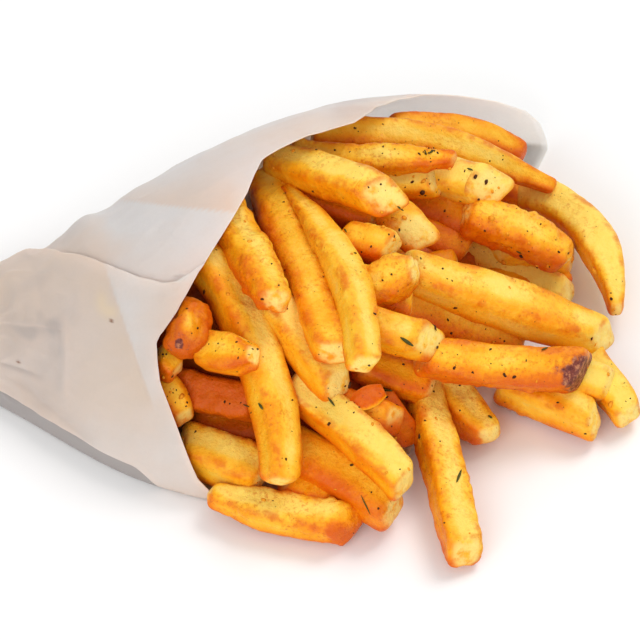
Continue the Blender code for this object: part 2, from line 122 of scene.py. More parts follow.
# The fries that show, lowest first: name, start and end as seen (right, up), seen width, the
# turn of its faces, sideways bow, dive; then its looks: tone from pale 0 to deep orange 1, and
# above 1 darker still, as painted shade on fries that lie in shade and as the knob's own deeper
# colour; crust from smooth 0 to rough 1, and the size of its two ends against its middle.
FRIES = (
    ("right_edge_lower", 88, 1.5, 99, -16.5, 10.5, 20, 0, 0, 0.3, 0.3, 1, 0.9),
    ("right_lower_front", 66, -6, 91, -17.5, 12, 30, 0, 0, 0.4, 0.4, 1, 0.85),
    ("right_lower_round_end", 78, -3.5, 95.2, -8, 10.5, 15, 0, 0, 0.2, 0.2, 1, 0.95),
    ("bottom_browned_end", -10.3, -35.7, 28.2, -43.8, 11.5, 35, -1.5, 0, 0.36, 0.8, 0.6, 1),
    ("bottom_deep_orange", 8, -23, 38, -40.4, 13.5, 28, 0, 0, 0.7, 0.5, 1, 0.95),
    ("bottom_left_light", -22, -23, 4.5, -31, 13, 35, 0, 0, 0.14, 0.4, 1, 0.95),
    ("left_in_shadow", -22.5, -7, 3, -13, 10, 10, 0, 0, 1.5, 0.7, 1, 1),
    ("left_behind_edge", -23.5, -4.5, -16.5, -17, 8.5, 10, 0, 0, 0.5, 0.4, 0.9, 0.9),
    ("middle_gap_dark", 33, -10.5, 42.5, -22.5, 8.5, 20, 0, 0, 1.25, 0.6, 1, 1),
    ("middle_gap_shaded", 21, -10.5, 38.5, -18, 9, 10, 0, 0, 1.1, 0.6, 1, 1),
    ("right_front_short", 46, -2.5, 63, -21, 11.5, 30, -1, 0, 0.65, 0.7, 1, 0.75),
    ("front_pointing_down", 44.5, -5, 56.5, -52, 11, 25, -0.5, 0, 0.45, 0.8, 0.85, 0.98),
    ("lower_middle_long", 10.5, -6.5, 41, -34, 11.5, 30, 1, 0, 0.35, 0.4, 0.95, 0.9),
    ("middle_round_end", 4.5, 14.5, 24, -8, 11.5, 25, 0, 0, 0.4, 0.3, 0.95, 1),
    ("front_left_long", -15, 29, 8.2, -33.3, 12.5, 35, 6, 0, 0.35, 0.3, 0.85, 0.85),
    ("left_light_chunk", -13, 1, 1.8, 0.4, 11, 20, 0, 14, 0.4, 0.5, 1, 0.6),
    ("left_small_end", -24.5, 0, -18.6, -4, 7.5, 20, 0, 0, 0.7, 0.4, 1, 1),
    ("left_browned_knob", -14, 14.5, -17.3, 1, 11, 25, 0, 0, 1.4, 1, 0.85, 1),
    ("left_ragged_end", -9, 41, 7.5, 13.5, 12, 35, 0, 0, 0.55, 1, 1, 0.78),
    ("middle_specked_tan", 33, 16.5, 72.5, 2.5, 10, 10, 0, 0, 0.6, 0.5, 1, 1),
    ("middle_orange", 29, -2, 48, -8.5, 10, 20, 0, 0, 0.8, 0.7, 0.9, 0.9),
    ("upper_right_pale_strip", 46, 31.5, 84.5, 15.5, 9.5, 15, 0, 0, 0.2, 0.3, 1, 1),
    ("upper_right_pale_end", 64, 28.5, 86, 24.8, 10.5, 30, 0, 0, 0.25, 0.3, 1, 1),
    ("upper_shaded", 38, 43.5, 60.5, 32.5, 11.5, 20, 0, 0, 1.15, 0.6, 1, 1),
    ("right_curved", 71, 43.4, 96.3, 10.8, 11.5, 10, 8, 0, 0.05, 0.4, 1, 0.42),
    ("top_orange", 36.8, 59.5, 73.6, 53.4, 8, 20, 2.6, 0, 0.95, 0.6, 0.9, 0.7),
    ("top_long_light", 16, 57.5, 80.5, 44, 10, 25, 5, 0, 0.38, 0.4, 1, 0.5),
    ("upper_right_crusty", 56, 37, 83.3, 24.8, 12.5, 40, 1.5, 0, 0.6, 1, 0.9, 0.85),
    ("upper_short_thick", 45, 48, 68.3, 43, 11.5, 20, 0, 0, 0.16, 0.4, 1, 1),
    ("upper_yellow_end", 36, 44.5, 49.5, 45.8, 8, 20, 0, 0, 0.35, 0.3, 1, 1),
    ("upper_thin_crusty", 10, 52.5, 54, 51.3, 8.5, 30, -1, 0, 0.65, 0.9, 1, 0.5),
    ("right_long", 40, 22, 94.8, 3.5, 13, 40, 0.3, 0, 0.32, 0.4, 0.85, 0.8),
    ("right_dark_tip", 44, -1, 88.3, -4.6, 11.5, 15, 0, 0, 0.8, 0.8, 0.85, 1),
    ("middle_thyme", 31, 8, 50, 2.8, 11, 20, 0, 0, 0.3, 0.4, 1, 1),
    ("middle_end_right", 35.5, 37, 46, 30.5, 11, 20, 0, 8, 0.35, 0.4, 1, 1),
    ("middle_end_front", 24, 30.5, 37.3, 27.5, 11, 20, 0, 10, 0.5, 0.6, 1, 0.9),
    ("middle_ragged", 29, 16.5, 43.7, 22.5, 12, 20, 0, 4, 0.6, 1, 1, 0.75),
    ("long_specked", 3, 47, 22.5, 0.3, 11.5, 15, 0, 0, 0.42, 0.7, 0.95, 0.95),
    ("long_tapered", 9, 44, 30, -2.7, 10.5, 30, 5, 0, 0.26, 0.4, 0.4, 0.85),
    ("upper_long", 4, 52, 38.5, 40.5, 11.5, 35, 0, 0, 0.42, 0.6, 0.8, 0.95),
)
BED_LOOKS = (0.85, 0.5, 1, 1)
# Fries half hidden in gaps between those above, in the same terms, and how far down they lie
FILLERS = (
    ("bed_gap_upper_left", 12, 43, 33, 35, 10.5, 25, 0, 9, 0.75, 0.5, 1, 0.9),
    ("bed_gap_upper_middle", 34, 36, 57, 27.5, 9, 15, 0, 15, 0.9, 0.5, 1, 1),
    ("bed_gap_middle", 20, 22, 42, 12, 10.5, 30, 0, 8, 0.85, 0.5, 1, 1),
    ("bed_gap_lower_left", -16, -17, 12, -22, 10.5, 20, 0, 13, 1.45, 0.9, 1, 1),
)
# More of them, laid last so that the others keep their seeds
LATE_FILLERS = (
    ("bed_gap_upper_right", 56, 49.5, 77, 38.5, 10.5, 25, 0, 8, 0.7, 0.5, 1, 1),
    ("bed_gap_bottom", -4, -31.5, 24, -37.5, 10, 15, 0, 1, 0.95, 0.8, 1, 1),
)


# Curves through named stations, and smooth noise


def along(stations, values, x):
    """A smooth curve through values given at stations, read at x."""
    stations, values = np.asarray(stations, float), np.asarray(values, float)
    slopes = np.gradient(values, stations)
    x = np.clip(x, stations[0], stations[-1])
    k = np.clip(np.searchsorted(stations, x) - 1, 0, len(stations) - 2)
    gap = stations[k + 1] - stations[k]
    t = (x - stations[k]) / gap
    rise = t * t * (3 - 2 * t)
    return (
        values[k] * (1 - rise)
        + values[k + 1] * rise
        + (t**3 - 2 * t**2 + t) * gap * slopes[k]
        + (t**3 - t**2) * gap * slopes[k + 1]
    )


def paper_section(x):
    return [along(STATION_X, values, x) for values in PAPER_SECTION]


def heap_section(x):
    return [along(HEAP_X, values, x) for values in HEAP_SECTION]


WAVE_COUNT = 16


def waves(points, size, seed):
    """Smooth noise in about -1 to 1, with features of about the given size."""
    rng = np.random.default_rng(seed)
    ways = rng.normal(size=(WAVE_COUNT, 3))
    ways /= np.linalg.norm(ways, axis=1)[:, None]
    ways *= (math.tau / (2 * size * rng.uniform(0.7, 1.5, WAVE_COUNT)))[:, None]
    phase = rng.uniform(0, math.tau, WAVE_COUNT)
    return np.sin(points @ ways.T + phase).sum(1) / math.sqrt(WAVE_COUNT / 2) / 1.7


def ease(low, high, value):
    """Smooth step from 0 at low to 1 at high, which may lie below low."""
    t = np.clip((value - low) / (high - low), 0, 1)
    return t * t * (3 - 2 * t)


# Seen places


def place(right, up, depth):
    """World point of a place seen at (right, up), depth toward the viewer."""
    y = up * SIGHT_SIN - depth * SIGHT_COS
    z = up * SIGHT_COS + depth * SIGHT_SIN
    return np.stack(np.broadcast_arrays(right, y, z), axis=-1)


def seen(points):
    """Where world points are seen: right and up."""
    return points[..., 0], points[..., 1] * SIGHT_SIN + points[..., 2] * SIGHT_COS


def on_section(right, up, section, inset):
    """Depth where the line of sight meets a body of rounded sections, shrunk by inset."""
    points = place(right[:, None], up[:, None], DEPTHS[None, :])
    half, middle, height = section(right)
    across = (points[..., 1] - middle[:, None]) / np.maximum(half - inset, THINNEST_BODY)[:, None]
    high = points[..., 2] / np.maximum(height - inset, THINNEST_BODY)[:, None]
    size = across**2 + high**2
    inside = (size < 1) & (high > 0)
    met = inside.any(1)
    return DEPTHS[np.where(met, inside.argmax(1), size.argmin(1))], met


def seen_path(fry, count):
    """The seen places along a fry's middle line, bowed to one side."""
    right0, up0, right1, up1, _, _, bow, _ = fry[1:9]
    s = np.linspace(0, 1, count)
    length = math.hypot(right1 - right0, up1 - up0)
    side = bow * 4 * s * (1 - s)
    right = right0 + (right1 - right0) * s - (up1 - up0) / length * side
    up = up0 + (up1 - up0) * s + (right1 - right0) / length * side
    return s, right, up


# Settling the pile, as in the solids


def surface_depths(fry, inset):
    _, right, up = seen_path(fry, SAMPLES)
    lowest = (FLOOR + fry[5] / 2 - up * SIGHT_COS) / SIGHT_SIN
    surface, _ = on_section(right, up, heap_section, inset)
    return lowest, np.maximum(lowest, surface)


# The mouth's edge for the settling, as in the solids: angle over the top, and X
CEILING_ANGLE = (
    0, 8, 20, 33, 46, 52, 61, 74, 85, 97, 108, 113, 118, 122, 135, 145, 155, 163, 172, 180,
)
CEILING_X = (-9, -14, -18, -22, -24, -25, -20, -12, -7, 0, 3, 12, 27, 30, 38, 46, 64, 73, 77, 79)


def ceiling_depths(fry):
    _, right, up = seen_path(fry, SAMPLES)
    inset = PAPER_WALL + PAPER_GAP + fry[5] * CEILING_SHARE
    depth, met = on_section(right, up, paper_section, inset)
    points = place(right, up, depth)
    half, middle, height = paper_section(right)
    angle = np.degrees(np.arctan2(points[:, 2] / height, (middle - points[:, 1]) / half))
    covered = met & (right - fry[5] * EDGE_MARGIN < np.interp(angle, CEILING_ANGLE, CEILING_X))
    return np.where(covered, depth, np.inf)


def straight_fit(depths):
    slope, start = np.polyfit(SHARES, depths, 1)
    return np.array([start, start + slope])


def crossings(lower, upper):
    reach = FRY_TOUCH * (lower[5] + upper[5]) / 2
    _, r0, u0 = seen_path(lower, SAMPLES)
    _, r1, u1 = seen_path(upper, SAMPLES)
    apart = (r0[:, None] - r1) ** 2 + (u0[:, None] - u1) ** 2
    i, j = np.nonzero(apart < (TOUCH_SPREAD * reach) ** 2)
    return [(SHARES[a], SHARES[b], math.sqrt(reach**2 - apart[a, b])) for a, b in zip(i, j)]


def push(depths, share, amount):
    weights = np.array([1 - share, share])
    depths += amount * weights / (weights @ weights)


def settle(fries):
    """Depths for the fries that show: the upper ones on the heap, the lower ones under them."""
    aims, depths, floors, links = [], [], [], []
    ceilings = [ceiling_depths(fry) for fry in fries]
    for fry in fries:
        lowest, surface = surface_depths(fry, 0)
        aim = straight_fit(surface)
        if fry[8]:
            aim[0] = aim[1] - fry[8]
        aims.append(aim)
        depths.append(aim.copy())
        floors.append(lowest)
    for b in range(len(fries)):
        for a in range(b):
            links += [(a, b, s, t, need) for s, t, need in crossings(fries[a], fries[b])]
    for _ in range(ROUNDS):
        for a, b, s, t, need in links:
            gap = depths[b] @ (1 - t, t) - depths[a] @ (1 - s, s)
            if gap < need:
                push(depths[a], s, (gap - need) * YIELD_LOWER)
                push(depths[b], t, (need - gap) * YIELD_UPPER)
        for k, lowest in enumerate(floors):
            depths[k] += (aims[k] - depths[k]) * PULL_BACK
            if fries[k][8]:
                depths[k][0] = depths[k][1] - fries[k][8]
                continue
            for share, floor in ((0, lowest[0]), (1, lowest[-1])):
                short = floor - depths[k] @ (1 - share, share)
                if short > 0:
                    push(depths[k], share, short)
            for share, ceiling in zip(SHARES, ceilings[k]):
                over = depths[k] @ (1 - share, share) - ceiling
                if over > 0:
                    push(depths[k], share, -over)
    return depths


def lay(fry, inset):
    """A fry with its depths where it lies straight, this far under the heap's surface."""
    return fry, straight_fit(surface_depths(fry, inset)[1])


def keep_on_heap(fry):
    """Cut a bed fry to its longest run over the heap; None where too little is left."""
    _, right, up = seen_path(fry, BED_SAMPLES)
    _, met = on_section(right, up, heap_section, BED_INSET + fry[5] / 2)
    runs = [[]]
    for k, on in enumerate(met):
        if on:
            runs[-1].append(k)
        elif runs[-1]:
            runs.append([])
    run = max(runs, key=len)
    if len(run) < BED_LEAST:
        return None
    first, last = run[0], run[-1]
    ends = (right[first], up[first], right[last], up[last])
    return (fry[0], *ends, *fry[5:])


def bed_fries():
    """Fries under those that show, fanning out from inside the cone, with their depths."""
    rng = np.random.default_rng(SEED)
    rows = []
    for i in range(BED_ROWS):
        for j in range(BED_COLUMNS):
            up = BED_LOW + (BED_HIGH - BED_LOW) * (i + rng.uniform(0.2, 0.8)) / BED_ROWS
            right = BED_LEFT + (BED_RIGHT - BED_LEFT) * (j + rng.uniform(0.2, 0.8)) / BED_COLUMNS
            turn = math.atan2(up - BED_SOURCE[1], right - BED_SOURCE[0])
            turn += math.radians(rng.uniform(-BED_TURN, BED_TURN))
            reach = rng.uniform(*BED_LENGTH) / 2
            width = rng.uniform(*BED_WIDTH)
            faces_turn = rng.uniform(0, 45)
            a, b = math.cos(turn) * reach, math.sin(turn) * reach
            ends = (right - a, up - b, right + a, up + b)
            row = (f"bed_{i}_{j}", *ends, width, faces_turn, 0, 0, *BED_LOOKS)
            fry = keep_on_heap(row)
            if fry:
                rows.append(fry)
    return [lay(fry, BED_INSET) for fry in rows] + [lay(fry, fry[8]) for fry in FILLERS]


# The shape of a fry

RING_STEP = 0.65
RING_SIDES = 52
BED_STEP = 1.3
BED_SIDES = 28
CAP_RINGS = 8
CAP_LENGTH = 0.27
CAP_POWER = 3.1
SQUARENESS = 4.8
# How square the section and the ends are where a fry is rounder than the rest
ROUND_FRIES = {
    "left_browned_knob": (2.9, 2.4),
    "upper_right_crusty": (3, 2.3),
    "bottom_browned_end": (3.4, 2.4),
    "front_left_long": (4, 2.5),
    "right_curved": (4, 2.5),
    "left_ragged_end": (3.4, 2.6),
}
BROWNED_ENDS = ("bottom_browned_end",)
# Fries whose end is cut toward the viewer, and how far back the cut is, in half widths
OPEN_ENDS = {
    "upper_short_thick": 1.1,
    "upper_long": 0.72,
    "middle_end_right": 0.75,
    "right_long": 0.3,
    "middle_thyme": 0.55,
}
PLAIN_BACK = 0.3
OPEN_SLANT = -0.95
END_SLANT = 0.35
END_BACK = 0.25
# How hollow the faces are, and how the middle line and the faces wander along a fry
HOLLOW = 0.03
WAVER = 0.4
WANDER = 9
# More relief on the roughest fries, and what faces, tips, corners and the painted shade on sides
# turned from the light add in tone
RAGGED = 0.9
FACE_TONE = 0.12
TIP_TONE = 0.4
EDGE_TONE = 0.26
PAINTED_SHADE_TONE = 0.32
LIGHT_WAY = np.array([0.4, 0.35, 0.85])
# How far under the heap's surface the fries begin to take painted shade, and take the most of it
DEEP_START, DEEP_FULL = 9, 21
# The plain stick that stands for a fry where it is tested against the paper
STICK_STATIONS = 12
STICK_SIDES = 8
STICK_CORNER = 1.18


def half_width(fry):
    """Half of a fry's real width, from its seen width and the turn of its faces."""
    turn = math.radians(fry[6])
    spread = abs(math.cos(turn)) + abs(math.sin(turn)) - CORNER_LOSS * abs(math.sin(2 * turn))
    return fry[5] / spread / 2


def frames_along(points):
    """Tangents, and the side and up directions across them, up being toward the viewer."""
    tangents = np.gradient(points, axis=0)
    tangents /= np.linalg.norm(tangents, axis=1)[:, None]
    up = TOWARD - tangents * (tangents @ TOWARD)[:, None]
    up /= np.linalg.norm(up, axis=1)[:, None]
    return tangents, np.cross(tangents, up), up


def fry_line(fry, depths, count):
    s, right, up = seen_path(fry, count)
    return place(right, up, depths[0] + (depths[1] - depths[0]) * s)


def meets_paper(fry, depths, tree):
    """True where a plain stick of the fry's size is in or near the paper."""
    points = fry_line(fry, depths, STICK_STATIONS)
    _, side, up = frames_along(points)
    half = half_width(fry)
    turn = math.radians(fry[6])
    for k, point in enumerate(points):
        for corner in range(STICK_SIDES):
            reach = half * (STICK_CORNER if corner % 2 else 1)
            angle = corner * math.tau / STICK_SIDES + turn
            way = side[k] * math.cos(angle) + up[k] * math.sin(angle)
            edge = point + way * reach
            if tree.find_nearest(Vector(edge * MM), PAPER_GAP * MM)[0] is not None:
                return True
            start = Vector(point * MM)
            if tree.ray_cast(start, Vector(way), reach * MM)[0] is not None:
                return True
    return False


def trimmed(fry, depths, tree):
    """The fry with its hidden start cut back while it would cross the paper, or None."""
    for _ in range(TRIM_TRIES):
        if not meets_paper(fry, depths, tree):
            return fry, depths
        name, right0, up0, right1, up1, width, turn, bow, dive = fry[:9]
        right0 += (right1 - right0) * TRIM_STEP
        up0 += (up1 - up0) * TRIM_STEP
        keep = 1 - TRIM_STEP
        fry = (name, right0, up0, right1, up1, width, turn, bow * keep, dive * keep, *fry[9:])
        depths = np.array([depths[0] + (depths[1] - depths[0]) * TRIM_STEP, depths[1]])
        length = math.hypot(math.hypot(right1 - right0, up1 - up0), depths[1] - depths[0])
        if length < SHORTEST:
            return None
    return None


def how_deep(points):
    """How far world points lie under the heap's surface, from 0 on it to 1 well inside, for the
    fries' painted shade.
    """
    half, middle, height = heap_section(points[:, 0])
    size = np.hypot((points[:, 1] - middle) / half, points[:, 2] / height)
    return ease(DEEP_START, DEEP_FULL, (1 - size) * np.minimum(half, height))


def grid_faces(index):
    """Faces between neighbours in a grid of point numbers."""
    corners = (index[:-1, :-1], index[:-1, 1:], index[1:, 1:], index[1:, :-1])
    return np.stack(corners, axis=-1).reshape(-1, 4).tolist()


def tube_faces(rings, sides):
    """Faces of a tube of rings that is closed at both ends."""
    index = np.arange(rings * sides).reshape(rings, sides)
    ends = [index[0].tolist()[::-1], index[-1].tolist()]
    return grid_faces(np.c_[index, index[:, 0]]) + ends


def fry_shape(fry, depths, seed, step, sides):
    """Points, faces and looks of one fry as a dense closed skin."""
    rng = np.random.default_rng(seed)
    tone, crust, size0, size1 = fry[9:13]
    rough_line = fry_line(fry, depths, 9)
    length = np.linalg.norm(np.diff(rough_line, axis=0), axis=1).sum()
    body = max(int(length / step), 6)
    width = fry[5]
    cap = CAP_LENGTH * width / length
    squareness, cap_power = ROUND_FRIES.get(fry[0], (SQUARENESS, CAP_POWER))
    angles = np.linspace(0, math.pi / 2, CAP_RINGS + 1)
    cap_out = np.sin(angles) ** (2 / cap_power)
    cap_size = np.cos(angles) ** (2 / cap_power)
    plain = np.linspace(cap, 1 - cap, body)[1:-1]
    s = np.concatenate([cap * (1 - cap_out[::-1]), plain, 1 - cap * (1 - cap_out)])
    scale = np.concatenate([cap_size[::-1], np.ones(body - 2), cap_size])
    endness = np.concatenate([angles[::-1], np.zeros(body - 2), angles]) / (math.pi / 2)
    count = 60
    line = fry_line(fry, depths, count)
    line_at = np.linspace(0, 1, count)
    centre = np.stack([np.interp(s, line_at, line[:, i]) for i in range(3)], axis=1)
    tangent, side, up = (
        np.stack([np.interp(s, line_at, way[:, i]) for i in range(3)], axis=1)
        for way in frames_along(line)
    )
    shift = rng.uniform(0, 400, 3)
    run = np.c_[s * length, 0 * s, 0 * s] + shift
    waver = np.stack([waves(run, 16, 3 + i) for i in range(2)], axis=1)
    centre = centre + (side * waver[:, :1] + up * waver[:, 1:]) * WAVER
    taper = size0 + (1 - size0) * ease(0, 0.4, s)
    taper = np.where(s > 0.6, 1 + (size1 - 1) * ease(0.6, 1, s), taper)
    twist = math.radians(fry[6]) + math.radians(WANDER) * waves(run, 30, 9)
    theta = np.linspace(0, math.tau, sides, endpoint=False)
    around = np.stack([np.cos(theta), np.sin(theta)])
    outline = (np.abs(around) ** squareness).sum(0) ** (-1 / squareness)
    outline *= 1 - HOLLOW * np.cos(2 * theta) ** 4
    corner = ease(0.8, 1, np.abs(np.sin(2 * theta)))
    beside_corner = ease(0.35, 1, np.abs(np.sin(2 * theta)))
    face_tones = rng.normal(0, FACE_TONE, 4)
    quarter = np.cos(theta[:, None] - np.arange(4) * math.pi / 2)
    face_tone = ease(0.6, 0.8, quarter) @ face_tones
    browned = (size1 < 0.75) + 1.7 * (fry[0] in BROWNED_ENDS)
    tips = (size0 < 0.75) * ease(6, 0, s * length) + browned * ease(7, 0, (1 - s) * length)
    tips *= TIP_TONE
    bare_end = endness * (1 - (fry[0] in BROWNED_ENDS) * (s > 0.5))
    uneven = rng.uniform(0.93, 1.05, 2)
    a = outline * np.cos(theta) * uneven[0]
    b = outline * np.sin(theta) * uneven[1]
    half = half_width(fry)
    rings = scale * taper * half
    ca, sa = np.cos(twist), np.sin(twist)
    across = rings[:, None] * (a[None, :] * ca[:, None] - b[None, :] * sa[:, None])
    above = rings[:, None] * (a[None, :] * sa[:, None] + b[None, :] * ca[:, None])
    slant = rng.uniform(-END_SLANT, END_SLANT, 4) + (0, END_BACK, 0, -END_BACK)
    if fry[0] in OPEN_ENDS:
        slant[3] = OPEN_SLANT
    set_back = OPEN_ENDS.get(fry[0], PLAIN_BACK) * half
    near0 = ease(0, 1, 1 - s * length / width)
    near1 = ease(0, 1, 1 - (1 - s) * length / width)
    lean = near0[:, None] * (slant[0] * across + slant[1] * above)
    lean += near1[:, None] * (slant[2] * across + slant[3] * (above + set_back))
    points = (
        centre[:, None, :]
        + side[:, None, :] * across[..., None]
        + up[:, None, :] * above[..., None]
        + tangent[:, None, :] * lean[..., None]
    )
    flat = points.reshape(-1, 3)
    outward = flat - np.repeat(centre, sides, axis=0)
    outward += np.repeat(tangent * (np.sign(s - 0.5) * endness * half)[:, None], sides, axis=0)
    outward /= np.linalg.norm(outward, axis=1)[:, None] + 1e-9
    at = flat + shift
    crusty = np.clip(crust * 1.3 - 0.35 + 0.55 * waves(at, 6, 27), 0, 1)
    ragged = 1 + RAGGED * (crust >= 1)
    rise = 0.2 * waves(at, 9, 21) + (0.07 + 0.09 * crusty) * ragged * waves(at, 3.4, 22)
    rise += (0.02 + 0.15 * crusty) * ragged * waves(at, 1.5, 23)
    blister = np.maximum(waves(at, 2.1, 24) - 0.3, 0) * crusty
    flat = flat + outward * (rise + 0.5 * blister)[:, None]
    # Painted shade: faces turned away from the light get a deeper tone
    turned = -outward @ LIGHT_WAY
    sides_left = 1 - ease(0.3, 0.85, endness)
    side_tone = sides_left[:, None] * (face_tone + EDGE_TONE * beside_corner)
    at_tone = 0.12 * waves(at, 9, 25) + 0.06 * waves(at, 3, 26)
    base_tone = 0.8 * tone + (side_tone + tips[:, None]).ravel()
    rings_count = len(s)
    edge = np.repeat(corner[None, :], rings_count, axis=0).ravel()
    end = np.repeat(endness, sides)
    rim = ease(0.1, 0.45, end) * (1 - ease(0.5, 0.85, end))
    looks = {
        "tone": np.clip(base_tone + PAINTED_SHADE_TONE * turned + at_tone, 0, 1),
        "edge": np.clip(np.maximum(edge * (1 - end), rim) + 0.5 * blister, 0, 1),
        "end": ease(0.4, 0.75, np.repeat(bare_end, sides)),
        "crust": crusty,
        # deep: painted shade deep in the heap, or from a tone above 1
        "deep": np.maximum(how_deep(flat), max(tone - 1, 0)),
    }
    return flat, tube_faces(rings_count, sides), looks


def merged(parts):
    """The points, in metres, and the faces of several shapes as one."""
    vertices, faces, offset = [], [], 0
    for points, part_faces, _ in parts:
        vertices.append(points)
        faces += [tuple(v + offset for v in face) for face in part_faces]
        offset += len(points)
    return (np.concatenate(vertices) * MM).tolist(), faces


def joined_piece(name, parts, material):
    """One smooth mesh piece from several shapes with their looks."""
    points, faces = merged(parts)
    mesh = bpy.data.meshes.new(name)
    mesh.from_pydata(points, [], faces)
    mesh.update()
    for key in parts[0][2]:
        attribute = mesh.attributes.new(key, "FLOAT", "POINT")
        values = np.concatenate([looks[key] for _, _, looks in parts])
        attribute.data.foreach_set("value", values.astype(np.float32))
    bm = bmesh.new()
    bm.from_mesh(mesh)
    bmesh.ops.recalc_face_normals(bm, faces=bm.faces)
    bm.to_mesh(mesh)
    bm.free()
    mesh.polygons.foreach_set("use_smooth", [True] * len(mesh.polygons))
    mesh.materials.append(material)
    piece = bpy.data.objects.new(name, mesh)
    bpy.context.scene.collection.objects.link(piece)
    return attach(piece, "root")


# Materials


def linear(red, green, blue):
    """A colour given in 0 to 255 as it looks, for the shader."""
    values = []
    for value in (red, green, blue):
        v = value / 255
        values.append(v / 12.92 if v <= 0.04045 else ((v + 0.055) / 1.055) ** 2.4)
    return (*values, 1)


def as_color(value):
    """A plain colour of three values turned into the shader's; all else as it is."""
    return linear(*value) if isinstance(value, tuple) and len(value) == 3 else value


# Where a Mix node keeps its two colours and its result
COLOR_INPUTS = (6, 7)
COLOR_OUTPUT = 2


class Graph:
    """Short calls for building a material's nodes."""

    def __init__(self, name):
        self.material = bpy.data.materials.new(name)
        self.material.use_nodes = True
        self.tree = self.material.node_tree
        self.shader = self.tree.nodes["Principled BSDF"]
        self.coords = self.tree.nodes.new("ShaderNodeTexCoord").outputs["Object"]

    def feed(self, socket, value):
        """Link a socket to an output, or set it to a plain value."""
        if isinstance(value, bpy.types.NodeSocket):
            self.tree.links.new(value, socket)
        else:
            socket.default_value = value

    def node(self, kind, **values):
        """A new node with these sockets fed; _ stands for a space in a socket's name."""
        node = self.tree.nodes.new("ShaderNode" + kind)
        self.put(node, **values)
        return node

    def put(self, node=None, **values):
        """Feed sockets of a node, or of the shader."""
        for name, value in values.items():
            self.feed((node or self.shader).inputs[name.replace("_", " ")], value)

    def attribute(self, name):
        node = self.node("Attribute")
        node.attribute_name = name
        return node.outputs["Fac"]

    def noise(self, size, detail=3, rough=0.5):
        """Noise whose features are about size millimetres."""
        scale = 1 / (size * MM)
        node = self.node(
            "TexNoise", Scale=scale, Detail=detail, Roughness=rough, Vector=self.coords
        )
        return node.outputs["Fac"]

    def math(self, kind, a, b):
        node = self.node("Math")
        node.operation = kind
        self.feed(node.inputs[0], a)
        self.feed(node.inputs[1], b)
        return node.outputs[0]

    def plus(self, a, b):
        return self.math("ADD", a, b)

    def times(self, a, b):
        return self.math("MULTIPLY", a, b)

    def uneven(self, size, detail, rough, amount):
        """Noise about zero, of the given amount."""
        return self.times(self.math("SUBTRACT", self.noise(size, detail, rough), 0.5), amount)

    def between(self, value, low, high, out_low=0.0, out_high=1.0):
        """Smooth step from out_low at low to out_high at high."""
        node = self.node(
            "MapRange", Value=value, From_Min=low, From_Max=high, To_Min=out_low, To_Max=out_high
        )
        node.interpolation_type = "SMOOTHSTEP"
        return node.outputs["Result"]

    def patches(self, size, detail, rough, low, high, *out):
        """Noise cut to soft patches between two of its levels."""
        return self.between(self.noise(size, detail, rough), low, high, *out)

    def mix(self, share, a, b):
        """Blend from a to b; a plain colour has 0 to 255 as it looks, or 4 shader values."""
        node = self.node("Mix", Factor=share)
        node.data_type = "RGBA"
        for socket, value in zip(COLOR_INPUTS, (a, b)):
            self.feed(node.inputs[socket], as_color(value))
        return node.outputs[COLOR_OUTPUT]

    def ramp(self, value, stops):
        node = self.node("ValToRGB", Fac=value)
        elements = node.color_ramp.elements
        while len(elements) < len(stops):
            elements.new(0.5)
        for element, (position, color) in zip(elements, stops):
            element.position = position
            element.color = as_color(color)
        return node.outputs["Color"]

    def bump(self, height, distance, below=None):
        node = self.node("Bump", Distance=distance * MM, Height=height)
        if below:
            self.feed(node.inputs["Normal"], below)
        return node.outputs["Normal"]


def fry_material():
    g = Graph("fried_potato")
    tone = g.attribute("tone")
    base = g.ramp(
        g.plus(tone, g.uneven(2.2, 4, 0.6, 0.4)),
        (
            (0.0, (255, 217, 98)),
            (0.25, (255, 195, 50)),
            (0.5, (250, 166, 14)),
            (0.75, (240, 133, 1)),
            (1.0, (221, 98, 0)),
        ),
    )
    browned = g.times(g.attribute("edge"), g.patches(4.5, 4, 0.6, 0.42, 0.66))
    color = g.mix(g.times(browned, 0.7), base, (220, 96, 4))
    crusty = g.times(g.attribute("crust"), g.patches(1.1, 4, 0.7, 0.5, 0.66))
    color = g.mix(g.times(crusty, 0.5), color, (204, 84, 4))
    pale = g.times(g.attribute("end"), g.patches(2.4, 3, 0.5, 0.3, 0.55))
    pale = g.times(pale, g.between(tone, 0.5, 1.0, 0.8, 0.0))
    color = g.mix(pale, color, (255, 226, 130))
    fine = g.patches(0.45, 3, 0.6, 0.62, 0.72)
    color = g.mix(g.times(fine, 0.16), color, (200, 96, 6))
    dust = g.times(g.patches(0.75, 1, 0.5, 0.72, 0.76), g.patches(6, 2, 0.5, 0.46, 0.56))
    color = g.mix(g.times(dust, 0.65), color, (118, 56, 12))
    # Painted shade: deeper orange-brown on fries deep in the heap and on those with a tone above 1
    painted_shade_amount = g.patches(2.8, 4, 0.6, 0.35, 0.62, 0.62, 0.86)
    color = g.mix(g.times(g.attribute("deep"), painted_shade_amount), color, (180, 80, 0))
    burn = g.plus(g.attribute("char"), g.uneven(2.4, 4, 0.6, 1.1))
    color = g.mix(g.between(burn, 0.16, 0.5, 0.0, 0.75), color, (206, 92, 20))
    burnt = g.ramp(
        g.noise(1.3, 4, 0.65),
        ((0.38, (94, 36, 32)), (0.52, (136, 68, 54)), (0.64, (198, 130, 88))),
    )
    g.put(
        Base_Color=g.mix(g.between(burn, 0.4, 0.62), color, burnt),
        Roughness=g.patches(1.5, 3, 0.5, 0.3, 0.7, 0.32, 0.5),
        Subsurface_Weight=0.08,
        Subsurface_Radius=(1, 0.45, 0.12),
        Subsurface_Scale=2.5 * MM,
        Specular_IOR_Level=0.24,
        Normal=g.bump(g.noise(0.4, 3, 0.6), 0.09, g.bump(g.noise(1.3, 4, 0.6), 0.42)),
    )
    return g.material


